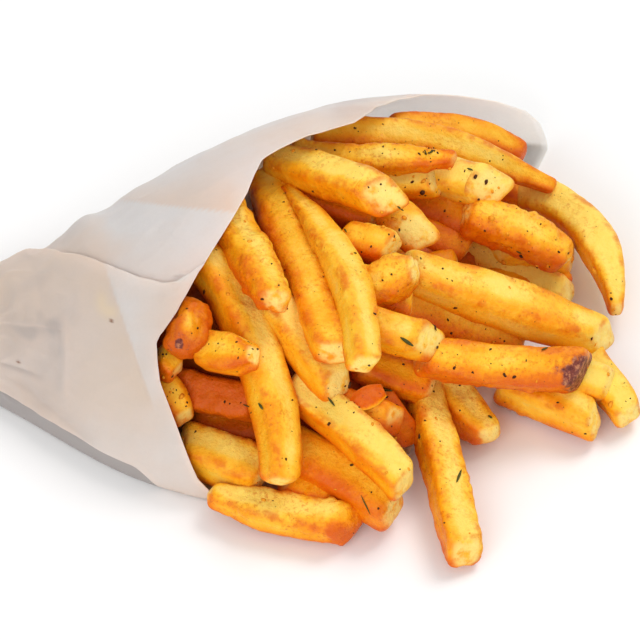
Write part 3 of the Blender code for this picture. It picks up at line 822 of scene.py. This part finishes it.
def paper_material():
    g = Graph("greaseproof_paper")
    color = g.ramp(
        g.plus(g.uneven(26, 4, 0.55, 0.8), g.attribute("tint")),
        ((0.0, (222, 213, 208)), (0.5, (224, 199, 184)), (1.0, (227, 196, 173))),
    )
    # Near white where thin is set: the back sheet's translucency with painted backlight, and the
    # flap edge's painted highlight
    thin = g.attribute("thin")
    color = g.mix(g.times(thin, 0.9), color, (254, 246, 232))
    fibre = g.patches(0.8, 4, 0.6, 0.35, 0.75)
    color = g.mix(g.times(fibre, 0.06), color, (190, 180, 170))
    # Darker grey where shade is set: painted shade along creases and folds, under the flap's fold
    # and on crumples toward the tip, and the darker patch
    color = g.mix(g.times(g.attribute("shade"), 0.55), color, (158, 152, 150))
    color = g.mix(g.attribute("grease"), color, (240, 206, 160))
    g.put(
        Base_Color=g.mix(g.attribute("speck"), color, (120, 70, 40)),
        Roughness=0.55,
        Subsurface_Weight=0.75,
        Subsurface_Radius=(1, 0.9, 0.8),
        Subsurface_Scale=g.between(thin, 0.0, 1.0, 1.2 * MM, 8 * MM),
        Specular_IOR_Level=0.35,
        Normal=g.bump(g.noise(0.7, 3, 0.6), 0.02, g.bump(g.noise(7, 4, 0.55), 0.25)),
    )
    return g.material


def flake_material(name, low, high):
    g = Graph(name)
    g.put(
        Base_Color=g.mix(g.noise(0.8, 3, 0.6), low, high),
        Roughness=0.7,
        Specular_IOR_Level=0.2,
        Normal=g.bump(g.noise(0.3, 3, 0.6), 0.05),
    )
    return g.material


# Paper sheets

# Thickness, how far the sheets lie inside the solid's skin and apart, and the side folds
SHEET_THICK = 0.28
SHEET_INSET = 0.35
FLAP_OFFSET = 0.55
FOLD_RADIUS = 3
FRONT_FOLD = 0.35
TOP_COLUMNS = 170
UNDER_COLUMNS = 56
STRAIGHT_ROWS = 86
FAN_ROWS = 56
# Creases, each between two seen places (right, up): width, height, whether it is a step
CREASES = (
    (-34, 40.4, -6.6, 37.4, 0.9, 0.4, False),
    (-60.8, -6, -53.2, -13.2, 1.5, -1.1, False),
    (-53.2, -13.2, -41.6, -22.3, 1.5, -1.1, False),
    (-65.8, -1.6, -56.8, -4.5, 0.6, -0.7, False),
    (-65.8, 8.2, -51.3, 6.8, 0.7, 0.7, False),
    (-48.4, 8, -48.6, -10, 1.4, 0.8, False),
    (-57, 24, -54, 9, 2.4, -0.7, False),
    (-62, 20, -60, 4, 1.8, 0.5, False),
    (-37.6, 22.4, -31, 3.7, 0.9, 0.35, True),
    (-31, 3.7, -25.5, -12, 0.9, 0.35, True),
    (-35.5, 31.6, -24, 31, 0.9, 0.3, False),
    (-18.4, 51.3, -30.3, 29, 2.6, 0.35, False),
    (-3, 57, -20, 46, 2.2, 0.35, False),
)
# Soft bulges: seen place, width and height
BULGES = ((-43.5, 33, 5, 2.4), (-18.5, 20, 2.5, 0.6), (-30, 43, 6, 0.8))
# Tints and painted shade along lines, mostly creases and folds: softness, reach, then tint and
# shade on the left side and on the right
PAINT = (
    (-36, 40.6, -4, 37.2, 0.5, 9, 0.35, -0.45, 0.05, 0),
    (-37.6, 22.4, -31, 3.7, 0.5, 8, -0.15, 0.35, 0, 0.16),
    (-31, 3.7, -25.5, -12, 0.5, 8, -0.15, 0.35, 0, 0.14),
    (-48.4, 8, -48.4, -10, 0.7, 3, 0, 0, 0, 0.34),
    (-65.8, 8.2, -51.3, 6.8, 0.4, 2, 0, 0, 0, 0.2),
    (-65.8, -1.6, -56.8, -4.5, 0.35, 1.2, 0, 0, 0, 0.5),
    (-60.8, -7, -41.6, -23.3, 0.8, 3, 0, 0, 0.3, 0),
)
# The paper's folds: stretch along X, size, height and how far they dip
RIDGES = ((0.6, 13, 0.38, -0.4), (0.8, 6, 0.14, -0.3))
SHEET_SEED = 31
# Where along X the paper is crumpled by handling, from none to full
HANDLED = (-40, -62)
# Soft spots: seen place, then half width and half height; the second is a painted highlight on the
# flap's edge
DARK_PATCH = (-55, 9, 7, 8)
PAINTED_EDGE_HIGHLIGHT = (-18, 20.3, 1.8, 0.7)
GREASE = ((-36.3, 11.3, 2.2, 1.8), (-38.5, 14, 1.5, 2.5))
# Dark specks: seen place and size
SPECKS = ((-36, 9, 0.38), (-60.3, -1.8, 0.42))


def along_line(line, right, up, soft):
    """How far seen places lie to the left of a line, and how much they lie beside it."""
    r0, u0, r1, u1 = line
    length = math.hypot(r1 - r0, u1 - u0)
    dr, du = (r1 - r0) / length, (u1 - u0) / length
    t = (right - r0) * dr + (up - u0) * du
    off = (up - u0) * dr - (right - r0) * du
    return off, ease(-4, soft, t) * (1 - ease(length - soft, length + 4, t))


def crease_height(points):
    """How far creases lift the paper at world points."""
    right, up = seen(points)
    total = np.zeros(len(points))
    for *line, width, height, is_step in CREASES:
        off, fade = along_line(line, right, up, 4)
        if is_step:
            form = ease(-width, width, off) - 0.5
        else:
            form = np.exp(-np.abs(off / width) ** 1.3)
        total += height * form * fade
    for r, u, wide, height in BULGES:
        total += height * np.exp(-(((right - r) ** 2 + (up - u) ** 2) / wide**2))
    return total


def sheet_lift(points):
    """Soft folds and crumples of the paper, outward."""
    lift = 0.45 * waves(points * (0.35, 1, 1), 16, SHEET_SEED)
    for k, (stretch, size, amount, floor) in enumerate(RIDGES):
        ridge = 1 - np.abs(waves(points * (stretch, 1, 1), size, SHEET_SEED + 1 + k)) * 2
        lift += amount * np.maximum(ridge, floor)
    lift += 0.05 * waves(points, 2.5, SHEET_SEED + 3)
    ridge = 1 - np.abs(waves(points, 5, SHEET_SEED + 4)) * 2
    crumples = 0.35 * np.maximum(ridge, -0.4) + 0.25 * waves(points, 8, SHEET_SEED + 5)
    return lift + ease(*HANDLED, points[:, 0]) * crumples


# Where along X the rolled tip is pinched, the share of its height that is left, and where the
# creases and crumples begin
TIP_PINCH = (-102.5, -93)
TIP_HEIGHT = 0.12
SMOOTH_TIP = (-102, -88)


def section_point(x, angle, inset):
    """Points of the cone over the top, inset inward; angle in degrees from the front crease."""
    half, middle, height = paper_section(x)
    phi = np.radians(angle)
    pinch = TIP_HEIGHT + (1 - TIP_HEIGHT) * ease(*TIP_PINCH, x)
    z = inset + (height - 2 * inset) * pinch * np.sin(phi)
    turn = fold_radius(half) * np.where(np.cos(phi) > 0, FRONT_FOLD, 1)
    low = np.maximum(turn - z, 0)
    pull = turn - np.sqrt(turn**2 - low**2)
    return np.stack([x, middle - (half - inset - pull) * np.cos(phi), z], axis=-1)


def fold_radius(half):
    """Radius of the soft folds along both sides, smaller toward the tip."""
    return np.minimum(FOLD_RADIUS, half / 3)


def section_normal(x, angle):
    half, _, height = paper_section(x)
    phi = np.radians(angle)
    n = np.stack([0 * x, -np.cos(phi) / half, np.sin(phi) / height], axis=-1)
    return n / np.linalg.norm(n, axis=-1)[..., None]


def shell(outer, inner, closed):
    """A thin closed skin from two grids of points [row, column]."""
    rows, columns = outer.shape[:2]
    points = np.concatenate([outer.reshape(-1, 3), inner.reshape(-1, 3)])
    under = rows * columns
    index = np.arange(under).reshape(rows, columns)
    if closed:
        index = np.c_[index, index[:, 0]]
    rims = [(index[0] + under, index[0]), (index[-1], index[-1] + under)]
    if not closed:
        rims += [(index[:, 0], index[:, 0] + under), (index[:, -1] + under, index[:, -1])]
    faces = grid_faces(index) + grid_faces(index[::-1] + under)
    for rim in rims:
        faces += grid_faces(np.stack(rim))
    return points, faces


def rows_of_x(ends):
    """X of every grid point: straight across, then fanning out to each column's end."""
    straight = np.linspace(STATION_X[0] + 0.5, FAN_X, STRAIGHT_ROWS)[:, None] * np.ones(len(ends))
    share = np.linspace(0, 1, FAN_ROWS)[1:, None]
    return np.concatenate([straight, FAN_X + share * (np.asarray(ends)[None, :] - FAN_X)])


def spot(right, up, middle_right, middle_up, wide, high):
    """A soft round spot by where things are seen, 1 at its middle."""
    return np.exp(-(((right - middle_right) / wide) ** 2 + ((up - middle_up) / high) ** 2))


def paper_looks(points):
    """Tints and stains over the paper, by where they are seen."""
    right, up = seen(points)
    half = len(points) // 2
    on_flap = ease(30, 10, up + 0.5 * right + 10)
    tint = 0.2 + 0.2 * waves(points * (0.5, 1, 1), 22, 71)
    tint += 0.35 * on_flap - 0.08 * ease(34, 44, up)
    tint[half:] += 0.35
    toward_tip = ease(36, 58, -right)
    # Darker grey toward the tip and low down
    shade = 0.38 * toward_tip * (1 - ease(10, 34, up))
    for *line, soft, reach, tint_left, tint_right, shade_left, shade_right in PAINT:
        off, beside = along_line(line, right, up, 3)
        beside = beside * np.exp(-((off / reach) ** 2))
        side = ease(-soft, soft, off)
        tint += beside * (tint_left * side + tint_right * (1 - side))
        shade += beside * (shade_left * side + shade_right * (1 - side))
    # A soft darker mottled patch on the flap
    shade += 0.7 * spot(right, up, *DARK_PATCH) * np.maximum(waves(points, 3.2, 72), 0)
    # Mottled painted shade of the crumples toward the tip
    shade += 0.22 * toward_tip * np.maximum(waves(points, 6, 73), 0)
    grease = 0.4 * sum(spot(right, up, *stain) for stain in GREASE)
    speck = np.zeros(len(points))
    for r, u, size in SPECKS:
        speck += np.exp(-((((right - r) ** 2 + (up - u) ** 2) / size**2) ** 2))
    looks = {"tint": tint, "shade": shade, "grease": grease, "speck": speck}
    looks = {key: np.clip(values, 0, 1) for key, values in looks.items()}
    # The back sheet is thinner and paler, its paler colour being painted backlight; the flap's edge
    # gets a painted highlight near the mouth
    back = ease(12, 34, points[:, 0]) * ease(15, 40, points[:, 1])
    return looks | {"thin": np.maximum(back, spot(right, up, *PAINTED_EDGE_HIGHLIGHT))}


# The under layer that stands clear below the flap: height, where it ends along X, and its painted
# shade from the fold above
STRIP_HEIGHT = 6.2
STRIP_END = (-31, -21)
STRIP_SHADE = 1.7


def strip_height(x):
    """How high the under layer stands clear below the flap's lower fold."""
    _, _, height = paper_section(x)
    return np.minimum(STRIP_HEIGHT, 0.35 * height) * (1 - ease(*STRIP_END, x))


def over_top(x, angle):
    """Base points, normals and lift of the paper over the top, and how far up its side."""
    base = section_point(x, angle, SHEET_INSET)
    flat = base.reshape(-1, 3)
    lift = (sheet_lift(flat) + crease_height(flat)).reshape(x.shape)
    side = np.sin(np.radians(angle))
    return base, section_normal(x, angle), lift * ease(0, 0.25, side) * ease(*SMOOTH_TIP, x), side


def sheet_shape(grid, normals, closed):
    """Points, faces and looks of a sheet around a grid of points."""
    half = normals * (SHEET_THICK / 2)
    points, faces = shell(grid + half, grid - half, closed)
    return points, faces, paper_looks(points)


def make_cone_sheet(material):
    """The main sheet: over the top, and across the bottom under the fries."""
    angles = np.linspace(0, 180, TOP_COLUMNS)
    x = rows_of_x(np.interp(angles, MOUTH_ANGLE, MOUTH_X))
    base, normal, lift, _ = over_top(x, np.broadcast_to(angles, x.shape))
    top = base + normal * lift[..., None]
    across = -np.cos(np.linspace(0, math.pi, UNDER_COLUMNS + 2)[1:-1])[::-1]
    x = rows_of_x(SHEET_FRONT_X + (SHEET_BACK_X - SHEET_FRONT_X) * (across + 1) / 2)
    half, middle, _ = paper_section(x)
    turned = 0.9 * fold_radius(half) * np.where(across < 0, FRONT_FOLD, 1)
    y = middle + across[None, :] * (half - SHEET_INSET - turned * across[None, :] ** 2)
    ripple = waves(np.stack([x, y, 0 * x], -1).reshape(-1, 3), 9, 35).reshape(x.shape)
    bottom = np.stack([x, y, 0.3 + 0.12 * (1 + ripple)], axis=-1)
    downward = np.zeros_like(bottom)
    downward[..., 2] = -1
    grid = np.concatenate([top, bottom], axis=1)
    shape = sheet_shape(grid, np.concatenate([normal, downward], axis=1), True)
    points, _, looks = shape
    # Painted shade on the under layer below the flap's fold
    _, middle, _ = paper_section(points[:, 0])
    strip = strip_height(points[:, 0])
    near = (points[:, 1] < middle) * ease(0.2, 1.5, strip)
    shade = STRIP_SHADE * near * (1 - ease(0.5, 2, points[:, 2] - strip))
    looks["shade"] = np.maximum(looks["shade"], shade)
    piece = joined_piece("paper_sheet", [shape], material)
    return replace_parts(piece, "paper_cone")


# The flap's free edge: X stations and the angle it reaches at each
FLAP_X = (-103, -72, -62, -53.9, -49.2, -44.7, -39.5, -34.2, -28.9, -22.4, -18.9, -15.8, -13)
FLAP_ANGLE = (165, 160, 148, 122.7, 106.7, 97.8, 88.6, 81.4, 76.2, 72.1, 71.4, 73, 74.9)
FLAP_COLUMNS = 110
FLAP_OVERHANG = 0.5


def make_flap(material):
    """The outer layer that wraps the front from the crease up to a free edge."""
    share = np.linspace(0, 1, FLAP_COLUMNS)
    x = rows_of_x(np.interp(share * FLAP_ANGLE[-1], MOUTH_ANGLE, MOUTH_X) + FLAP_OVERHANG)
    share = np.broadcast_to(share, x.shape)
    strip = strip_height(x)
    _, _, height = paper_section(x)
    first = np.maximum(np.degrees(np.arcsin(strip / height)), 1.5)
    angle = first + share * (np.interp(x, FLAP_X, FLAP_ANGLE) - first)
    base, normal, lift, side = over_top(x, angle)
    own = 0.35 * (1 + waves(base.reshape(-1, 3) * (0.5, 1, 1), 15, 41)).reshape(x.shape)
    puff = 1.6 * (1 - ease(-66, -48, x)) * ease(-100, -80, x)
    lift = lift + 0.5 * ease(0, 3, strip) * (1 - ease(0, 0.06, share))
    lift = lift + FLAP_OFFSET + own * ease(0, 0.3, side)
    lift = lift + ease(0.8, 1, share) * 0.5 + puff * ease(0.35, 0.9, share)
    shape = sheet_shape(base + normal * lift[..., None], normal, False)
    piece = joined_piece("paper_flap", [shape], material)
    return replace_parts(piece, "paper_cone")


# Seasoning and crumbs


def struck(tree, start, way):
    """Where a ray from a place, in millimetres, meets a skin, and the normal there, or None."""
    at, normal, _, _ = tree.ray_cast(Vector(start * MM), Vector(way))
    return None if at is None else (np.array(at) / MM, np.array(normal))


def sight_hit(tree, right, up):
    """Where the line of sight at a seen place first meets the fries, or None."""
    hit = struck(tree, place(right, up, 150.0), -TOWARD)
    if hit is None:
        return None
    at, normal = hit
    return at, normal if normal @ TOWARD > 0 else -normal


def across_from(normal, turn):
    """Two directions lying in a surface, turned by an angle."""
    a = np.cross(normal, (0.0, 0.0, 1.0) if abs(normal[2]) < 0.9 else (1.0, 0.0, 0.0))
    a /= np.linalg.norm(a)
    b = np.cross(normal, a)
    return a * math.cos(turn) + b * math.sin(turn), b * math.cos(turn) - a * math.sin(turn)


BIT_SIDES = 7


def bit(at, normal, length, width, high, rng):
    """A small uneven grain lying on a surface, partly sunk in."""
    a, b = across_from(normal, rng.uniform(0, math.tau))
    ring = np.linspace(0, math.tau, BIT_SIDES, endpoint=False)
    size = rng.uniform(0.7, 1.15, BIT_SIDES)
    tilt = rng.uniform(-0.3, 0.3, BIT_SIDES)
    points = []
    for t, k, h in zip(ring, size, tilt):
        around = a * math.cos(t) * length / 2 * k + b * math.sin(t) * width / 2 * k
        points.append(at + around + normal * high * (0.2 + h))
    points += [at + normal * high * 0.8, at - normal * high * 0.6]
    faces = []
    for i in range(BIT_SIDES):
        j = (i + 1) % BIT_SIDES
        faces += [(i, j, BIT_SIDES), (j, i, BIT_SIDES + 1)]
    return np.array(points), faces, {}


# A curled scrap of crust: its seen middle, half sizes and turn, and how much it curls
PEEL = (30.9, -10.9, 4.6, 3, 24, 1.5)


def make_peel(tree, material):
    """A thin curled scrap of deep orange crust lying in the gap."""
    right, up, reach, wide, turn, curl = PEEL
    middle = sight_hit(tree, right, up)[0]
    turn = math.radians(turn)
    a = place(math.cos(turn), math.sin(turn), 0.0)
    b = place(-math.sin(turn), math.cos(turn), 0.0)
    s, t = np.meshgrid(np.linspace(-1, 1, 26), np.linspace(-1, 1, 20), indexing="ij")
    width = wide * (1 - 0.45 * s**2)
    height = 1.2 + curl * t**2 + 0.5 * curl * s**2
    flat = (s * reach)[..., None] * a + (t * width)[..., None] * b + height[..., None] * TOWARD
    flat = middle + flat
    uneven = 0.35 * waves(flat.reshape(-1, 3), 2.6, 61) + 0.15 * waves(flat.reshape(-1, 3), 1.1, 62)
    flat = flat + uneven.reshape(s.shape)[..., None] * TOWARD
    points, faces = shell(flat + 0.3 * TOWARD, flat - 0.3 * TOWARD, False)
    rim = ease(-0.55, -1, np.concatenate([t.ravel(), t.ravel()]))
    # Paler toward its curled rim, with a little painted shade in its middle
    looks = {"tone": 1 - 0.55 * rim, "edge": 0 * rim, "end": 0 * rim, "crust": 0.6 + 0 * rim}
    looks["deep"] = 0.1 * (1 - rim)
    looks["char"] = 0 * rim
    return joined_piece("peel_scrap", [(points, faces, looks)], material)


# Grains: how many where they show and around, and their length with its spread
PEPPER = (210, 90, (0.6, 0.45))
CRUMBS = (70, 23, (1.1, 0.5))
# A close group of pepper grains: seen place, spread and how many
PEPPER_CLUSTER = (46.8, 53, 2.4, 16)
# Where the unseen grains are aimed: ranges of X, Y and Z
HEAP_REACH = ((-10, 95), (-45, 55), (5, 40))


def seen_places(rng, count):
    """Random seen places on the fries that show."""
    found = []
    for _ in range(count):
        row = FRIES[rng.integers(len(FRIES))]
        share, wide = rng.uniform(0, 1), row[5] * 0.45
        found.append(
            [row[k] + (row[k + 2] - row[k]) * share + rng.uniform(-wide, wide) for k in (1, 2)]
        )
    return found


def scattered(tree, count, around, sizes, rng):
    """Grains over the fries as seen, and some on the sides that don't show."""
    parts = []
    for right, up in seen_places(rng, count):
        hit = sight_hit(tree, right, up)
        if hit and hit[0][2] > FLOOR:
            length = sizes[0] * math.exp(rng.normal(0, sizes[1]))
            width = length * rng.uniform(0.5, 0.95)
            parts.append(bit(*hit, length, width, width * 0.5, rng))
    for _ in range(around):
        way = rng.normal(size=3)
        way[2] = abs(way[2])
        way /= np.linalg.norm(way)
        aim = np.array([rng.uniform(*reach) for reach in HEAP_REACH])
        hit = struck(tree, aim + way * 200, -way)
        if hit:
            length = sizes[0] * math.exp(rng.normal(0, sizes[1]))
            parts.append(bit(*hit, length, length * 0.7, length * 0.35, rng))
    return parts


# Herb slivers: seen start and end, and width
HERBS = (
    (39.2, 4.7, 42.6, 2.4, 0.95),
    (33.9, -8.9, 37.4, -9.5, 0.9),
    (29.2, -36.3, 31.6, -41.3, 0.4),
    (53.9, -33.2, 55.2, -29.9, 0.7),
    (45.4, 54.8, 46.4, 52.6, 0.6),
    (48.3, 53.6, 46.9, 52.7, 0.6),
    (2.6, -12.4, 3.8, -14, 0.9),
    (62.3, -15.9, 63.4, -16.6, 0.7),
    (76.2, 1.2, 77.9, 1.9, 0.6),
    (37, 11.5, 38.4, 12.6, 0.5),
    (-1.5, -12.8, 0.2, -13.4, 0.5),
    (20.5, -11, 22.2, -13.2, 0.6),
    (38.5, 39, 40.2, 37.8, 0.7),
    (57, 49, 58.6, 48.4, 0.5),
    (24.5, 33.5, 25.6, 32, 0.5),
    (70, 27.5, 71.4, 26.8, 0.5),
)
HERB_STATIONS = 7


def sliver(tree, herb):
    """A thin tapered leaf lying over the fries between two seen places."""
    r0, u0, r1, u1, width = herb
    spots, normals = [], []
    for share in np.linspace(0, 1, HERB_STATIONS):
        hit = sight_hit(tree, r0 + (r1 - r0) * share, u0 + (u1 - u0) * share)
        if hit is None:
            return None
        spots.append(hit[0])
        normals.append(hit[1])
    spots = np.array(spots)
    for _ in range(3):
        spots[1:-1] = (spots[:-2] + 2 * spots[1:-1] + spots[2:]) / 4
    normal = np.mean(normals, axis=0)
    normal /= np.linalg.norm(normal)
    way = spots[-1] - spots[0]
    side = np.cross(way / np.linalg.norm(way), normal)
    size = np.sin(np.linspace(0.15, math.pi - 0.15, HERB_STATIONS)) ** 0.7
    points = []
    for spot, k in zip(spots, size):
        lifted = spot + normal * 0.3
        points += [
            lifted + side * width / 2 * k,
            lifted + normal * width * 0.25 * k,
            lifted - side * width / 2 * k,
            lifted - normal * width * 0.3 * k,
        ]
    return np.array(points), tube_faces(HERB_STATIONS, 4), {}


# The core under the fries

CORE_ROWS = 110
CORE_COLUMNS = 90


def make_core(material):
    """An uneven filling under the fries, closed underneath, dark with the fries' fullest painted
    shade.
    """
    x = np.linspace(CORE_START, CORE_END, CORE_ROWS)[:, None] * np.ones(CORE_COLUMNS)
    half, middle, height = heap_section(x)
    ends = np.sin(np.linspace(0.05, math.pi - 0.05, CORE_ROWS))[:, None] ** 0.3
    wide = np.maximum(half - CORE_INSET, 2) * ends
    high = np.maximum(height - CORE_INSET, 2) * ends
    phi = np.linspace(0, math.pi, CORE_COLUMNS)[None, :]
    grid = [x, middle - wide * np.cos(phi), FLOOR + high * np.sin(phi)]
    points = np.stack(grid, axis=-1).reshape(-1, 3)
    lump = 1.2 * waves(points, 9, 51) + 0.5 * waves(points, 3.5, 52)
    points[:, 2] += lump * np.repeat(np.sin(phi), CORE_ROWS, axis=0).ravel()
    points[:, 2] = np.maximum(points[:, 2], FLOOR)
    full = np.ones(len(points))
    # The core takes the deepest painted shade
    looks = {key: full for key in ("tone", "crust", "deep")}
    looks |= {key: 0 * full for key in ("edge", "end", "char")}
    shape = (points, tube_faces(CORE_ROWS, CORE_COLUMNS), looks)
    piece = joined_piece("fries_core", [shape], material)
    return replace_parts(piece, "fries")


# Building everything

# The burnt tip and the knob's eye by where they are seen, and the knob's painted highlight
BURNT_AT = (88.8, -5.5)
BURNT_REACH = 9.5
EYE_AT = (-18.2, 3)
EYE_SIZE = 1.3
EYE_RING = (2.7, 0.6)
KNOB_PAINTED_HIGHLIGHT = (-16, 9, 1.6, 3)


def mark(name, points, looks):
    """Add a fry's char, and on the knob also its painted highlight."""
    right, up = seen(points)
    looks["char"] = np.zeros(len(right))
    if name == "right_dark_tip":
        off = np.hypot((right - BURNT_AT[0]) * 0.75, up - BURNT_AT[1])
        looks["char"] = 1.08 - ease(0, BURNT_REACH, off)
    if name == "left_browned_knob":
        off = np.hypot(right - EYE_AT[0], up - EYE_AT[1])
        ring = np.exp(-(((off - EYE_RING[0]) / EYE_RING[1]) ** 2))
        looks["char"] = 1.25 * np.exp(-((off / EYE_SIZE) ** 2)) + 0.42 * ring
        # A painted highlight: the knob is paler here and loses its deep tone
        painted_highlight = spot(right, up, *KNOB_PAINTED_HIGHLIGHT)
        looks["tone"] = looks["tone"] - 0.75 * painted_highlight
        looks["deep"] = looks["deep"] * (1 - painted_highlight)


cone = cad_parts["paper_cone"].data
paper_tree = BVHTree.FromPolygons(
    [v.co for v in cone.vertices], [p.vertices[:] for p in cone.polygons]
)

potato = fry_material()
paper = paper_material()
make_cone_sheet(paper)
make_flap(paper)

groups = {"fries_pale": [], "fries_golden": [], "fries_crusty": [], "fries_below": []}
laid = bed_fries() + list(zip(FRIES, settle(FRIES)))
laid += [lay(fry, fry[8]) for fry in LATE_FILLERS]
for number, (row, row_depths) in enumerate(laid):
    kept = trimmed(row, row_depths, paper_tree)
    if kept is None:
        continue
    in_bed = row[0].startswith("bed")
    grain = (BED_STEP, BED_SIDES) if in_bed else (RING_STEP, RING_SIDES)
    shape = fry_shape(*kept, SEED + number, *grain)
    mark(row[0], *shape[::2])
    if in_bed:
        group = "fries_below"
    elif row[9] <= 0.35:
        group = "fries_pale"
    elif row[10] >= 0.7:
        group = "fries_crusty"
    else:
        group = "fries_golden"
    groups[group].append(shape)
for group, shapes in groups.items():
    piece = joined_piece(group, shapes, potato)
    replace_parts(piece, "fries")
make_core(potato)

fries_tree = BVHTree.FromPolygons(*merged(sum(groups.values(), [])))
scatter = np.random.default_rng(SEED)
make_peel(fries_tree, potato)
pepper = scattered(fries_tree, *PEPPER, scatter)
r, u, spread, count = PEPPER_CLUSTER
for _ in range(count):
    hit = sight_hit(
        fries_tree, r + scatter.normal() * spread / 2, u + scatter.normal() * spread / 2
    )
    if hit:
        size = scatter.uniform(0.4, 1)
        pepper.append(bit(*hit, size, size * 0.6, size * 0.4, scatter))
leaves = [leaf for leaf in (sliver(fries_tree, herb) for herb in HERBS) if leaf]
crumbs = scattered(fries_tree, *CRUMBS, scatter)
for name, parts, *look in (
    ("pepper_specks", pepper, "pepper", (52, 26, 12), (96, 52, 22)),
    ("herb_slivers", leaves, "dried_herb", (44, 48, 18), (98, 96, 40)),
    ("fry_crumbs", crumbs, "crust_crumb", (232, 130, 16), (250, 180, 50)),
):
    joined_piece(name, parts, flake_material(*look))


# Stage, light and camera

# The world's strength, and the lights: name, place in metres, size in metres and power
WORLD_STRENGTH = 0.62
LIGHTS = (
    ("key", (0.45, 0.4, 0.95), 0.5, 5.25),
    ("fill", (-0.35, -0.98, 0.62), 0.8, 6.4),
)


def set_world(strength):
    world = bpy.data.worlds.new("studio")
    world.use_nodes = True
    background = world.node_tree.nodes["Background"]
    background.inputs["Color"].default_value = (1, 1, 1, 1)
    background.inputs["Strength"].default_value = strength
    bpy.context.scene.world = world


def aimed(name, data, at, way):
    """A light or camera at a place, in metres, that looks one way."""
    thing = bpy.data.objects.new(name, data)
    thing.location = at
    thing.rotation_mode = "QUATERNION"
    thing.rotation_quaternion = way.to_track_quat("-Z", "Y")
    bpy.context.scene.collection.objects.link(thing)
    return thing


def add_light(name, at, size, power):
    data = bpy.data.lights.new(name, "AREA")
    data.size = size
    data.energy = power
    aimed(name, data, at, Vector((0, 0, 0)) - Vector(at))


# The floor: half its width in metres, how far under zero it lies, and its two pale tints
FLOOR_REACH = 6
FLOOR_DROP = 0.0001
FLOOR_PALE = (0.93, 0.95)


def add_floor():
    mesh = bpy.data.meshes.new("floor")
    reach = FLOOR_REACH
    corners = [(-reach, -reach, 0), (reach, -reach, 0), (reach, reach, 0), (-reach, reach, 0)]
    mesh.from_pydata(corners, [], [(0, 1, 2, 3)])
    g = Graph("floor")
    pale = [(value, value, value, 1) for value in FLOOR_PALE]
    g.put(Base_Color=g.mix(g.noise(60, 2, 0.5), *pale), Roughness=0.9)
    mesh.materials.append(g.material)
    floor = bpy.data.objects.new("floor", mesh)
    floor.location = (0, 0, -FLOOR_DROP)
    bpy.context.scene.collection.objects.link(floor)


def add_camera():
    data = bpy.data.cameras.new("camera")
    data.lens = SENSOR * CAMERA_AWAY / FRAME_WIDTH
    data.sensor_width = SENSOR
    data.clip_start, data.clip_end = 0.1, 40
    target = Vector(place(*FRAME_CENTRE, 0.0) * MM)
    at = target + Vector(TOWARD) * (CAMERA_AWAY * MM)
    bpy.context.scene.camera = aimed("camera", data, at, -Vector(TOWARD))


set_world(WORLD_STRENGTH)
for light in LIGHTS:
    add_light(*light)
add_floor()
add_camera()
bpy.context.scene.view_settings.view_transform = "Standard"
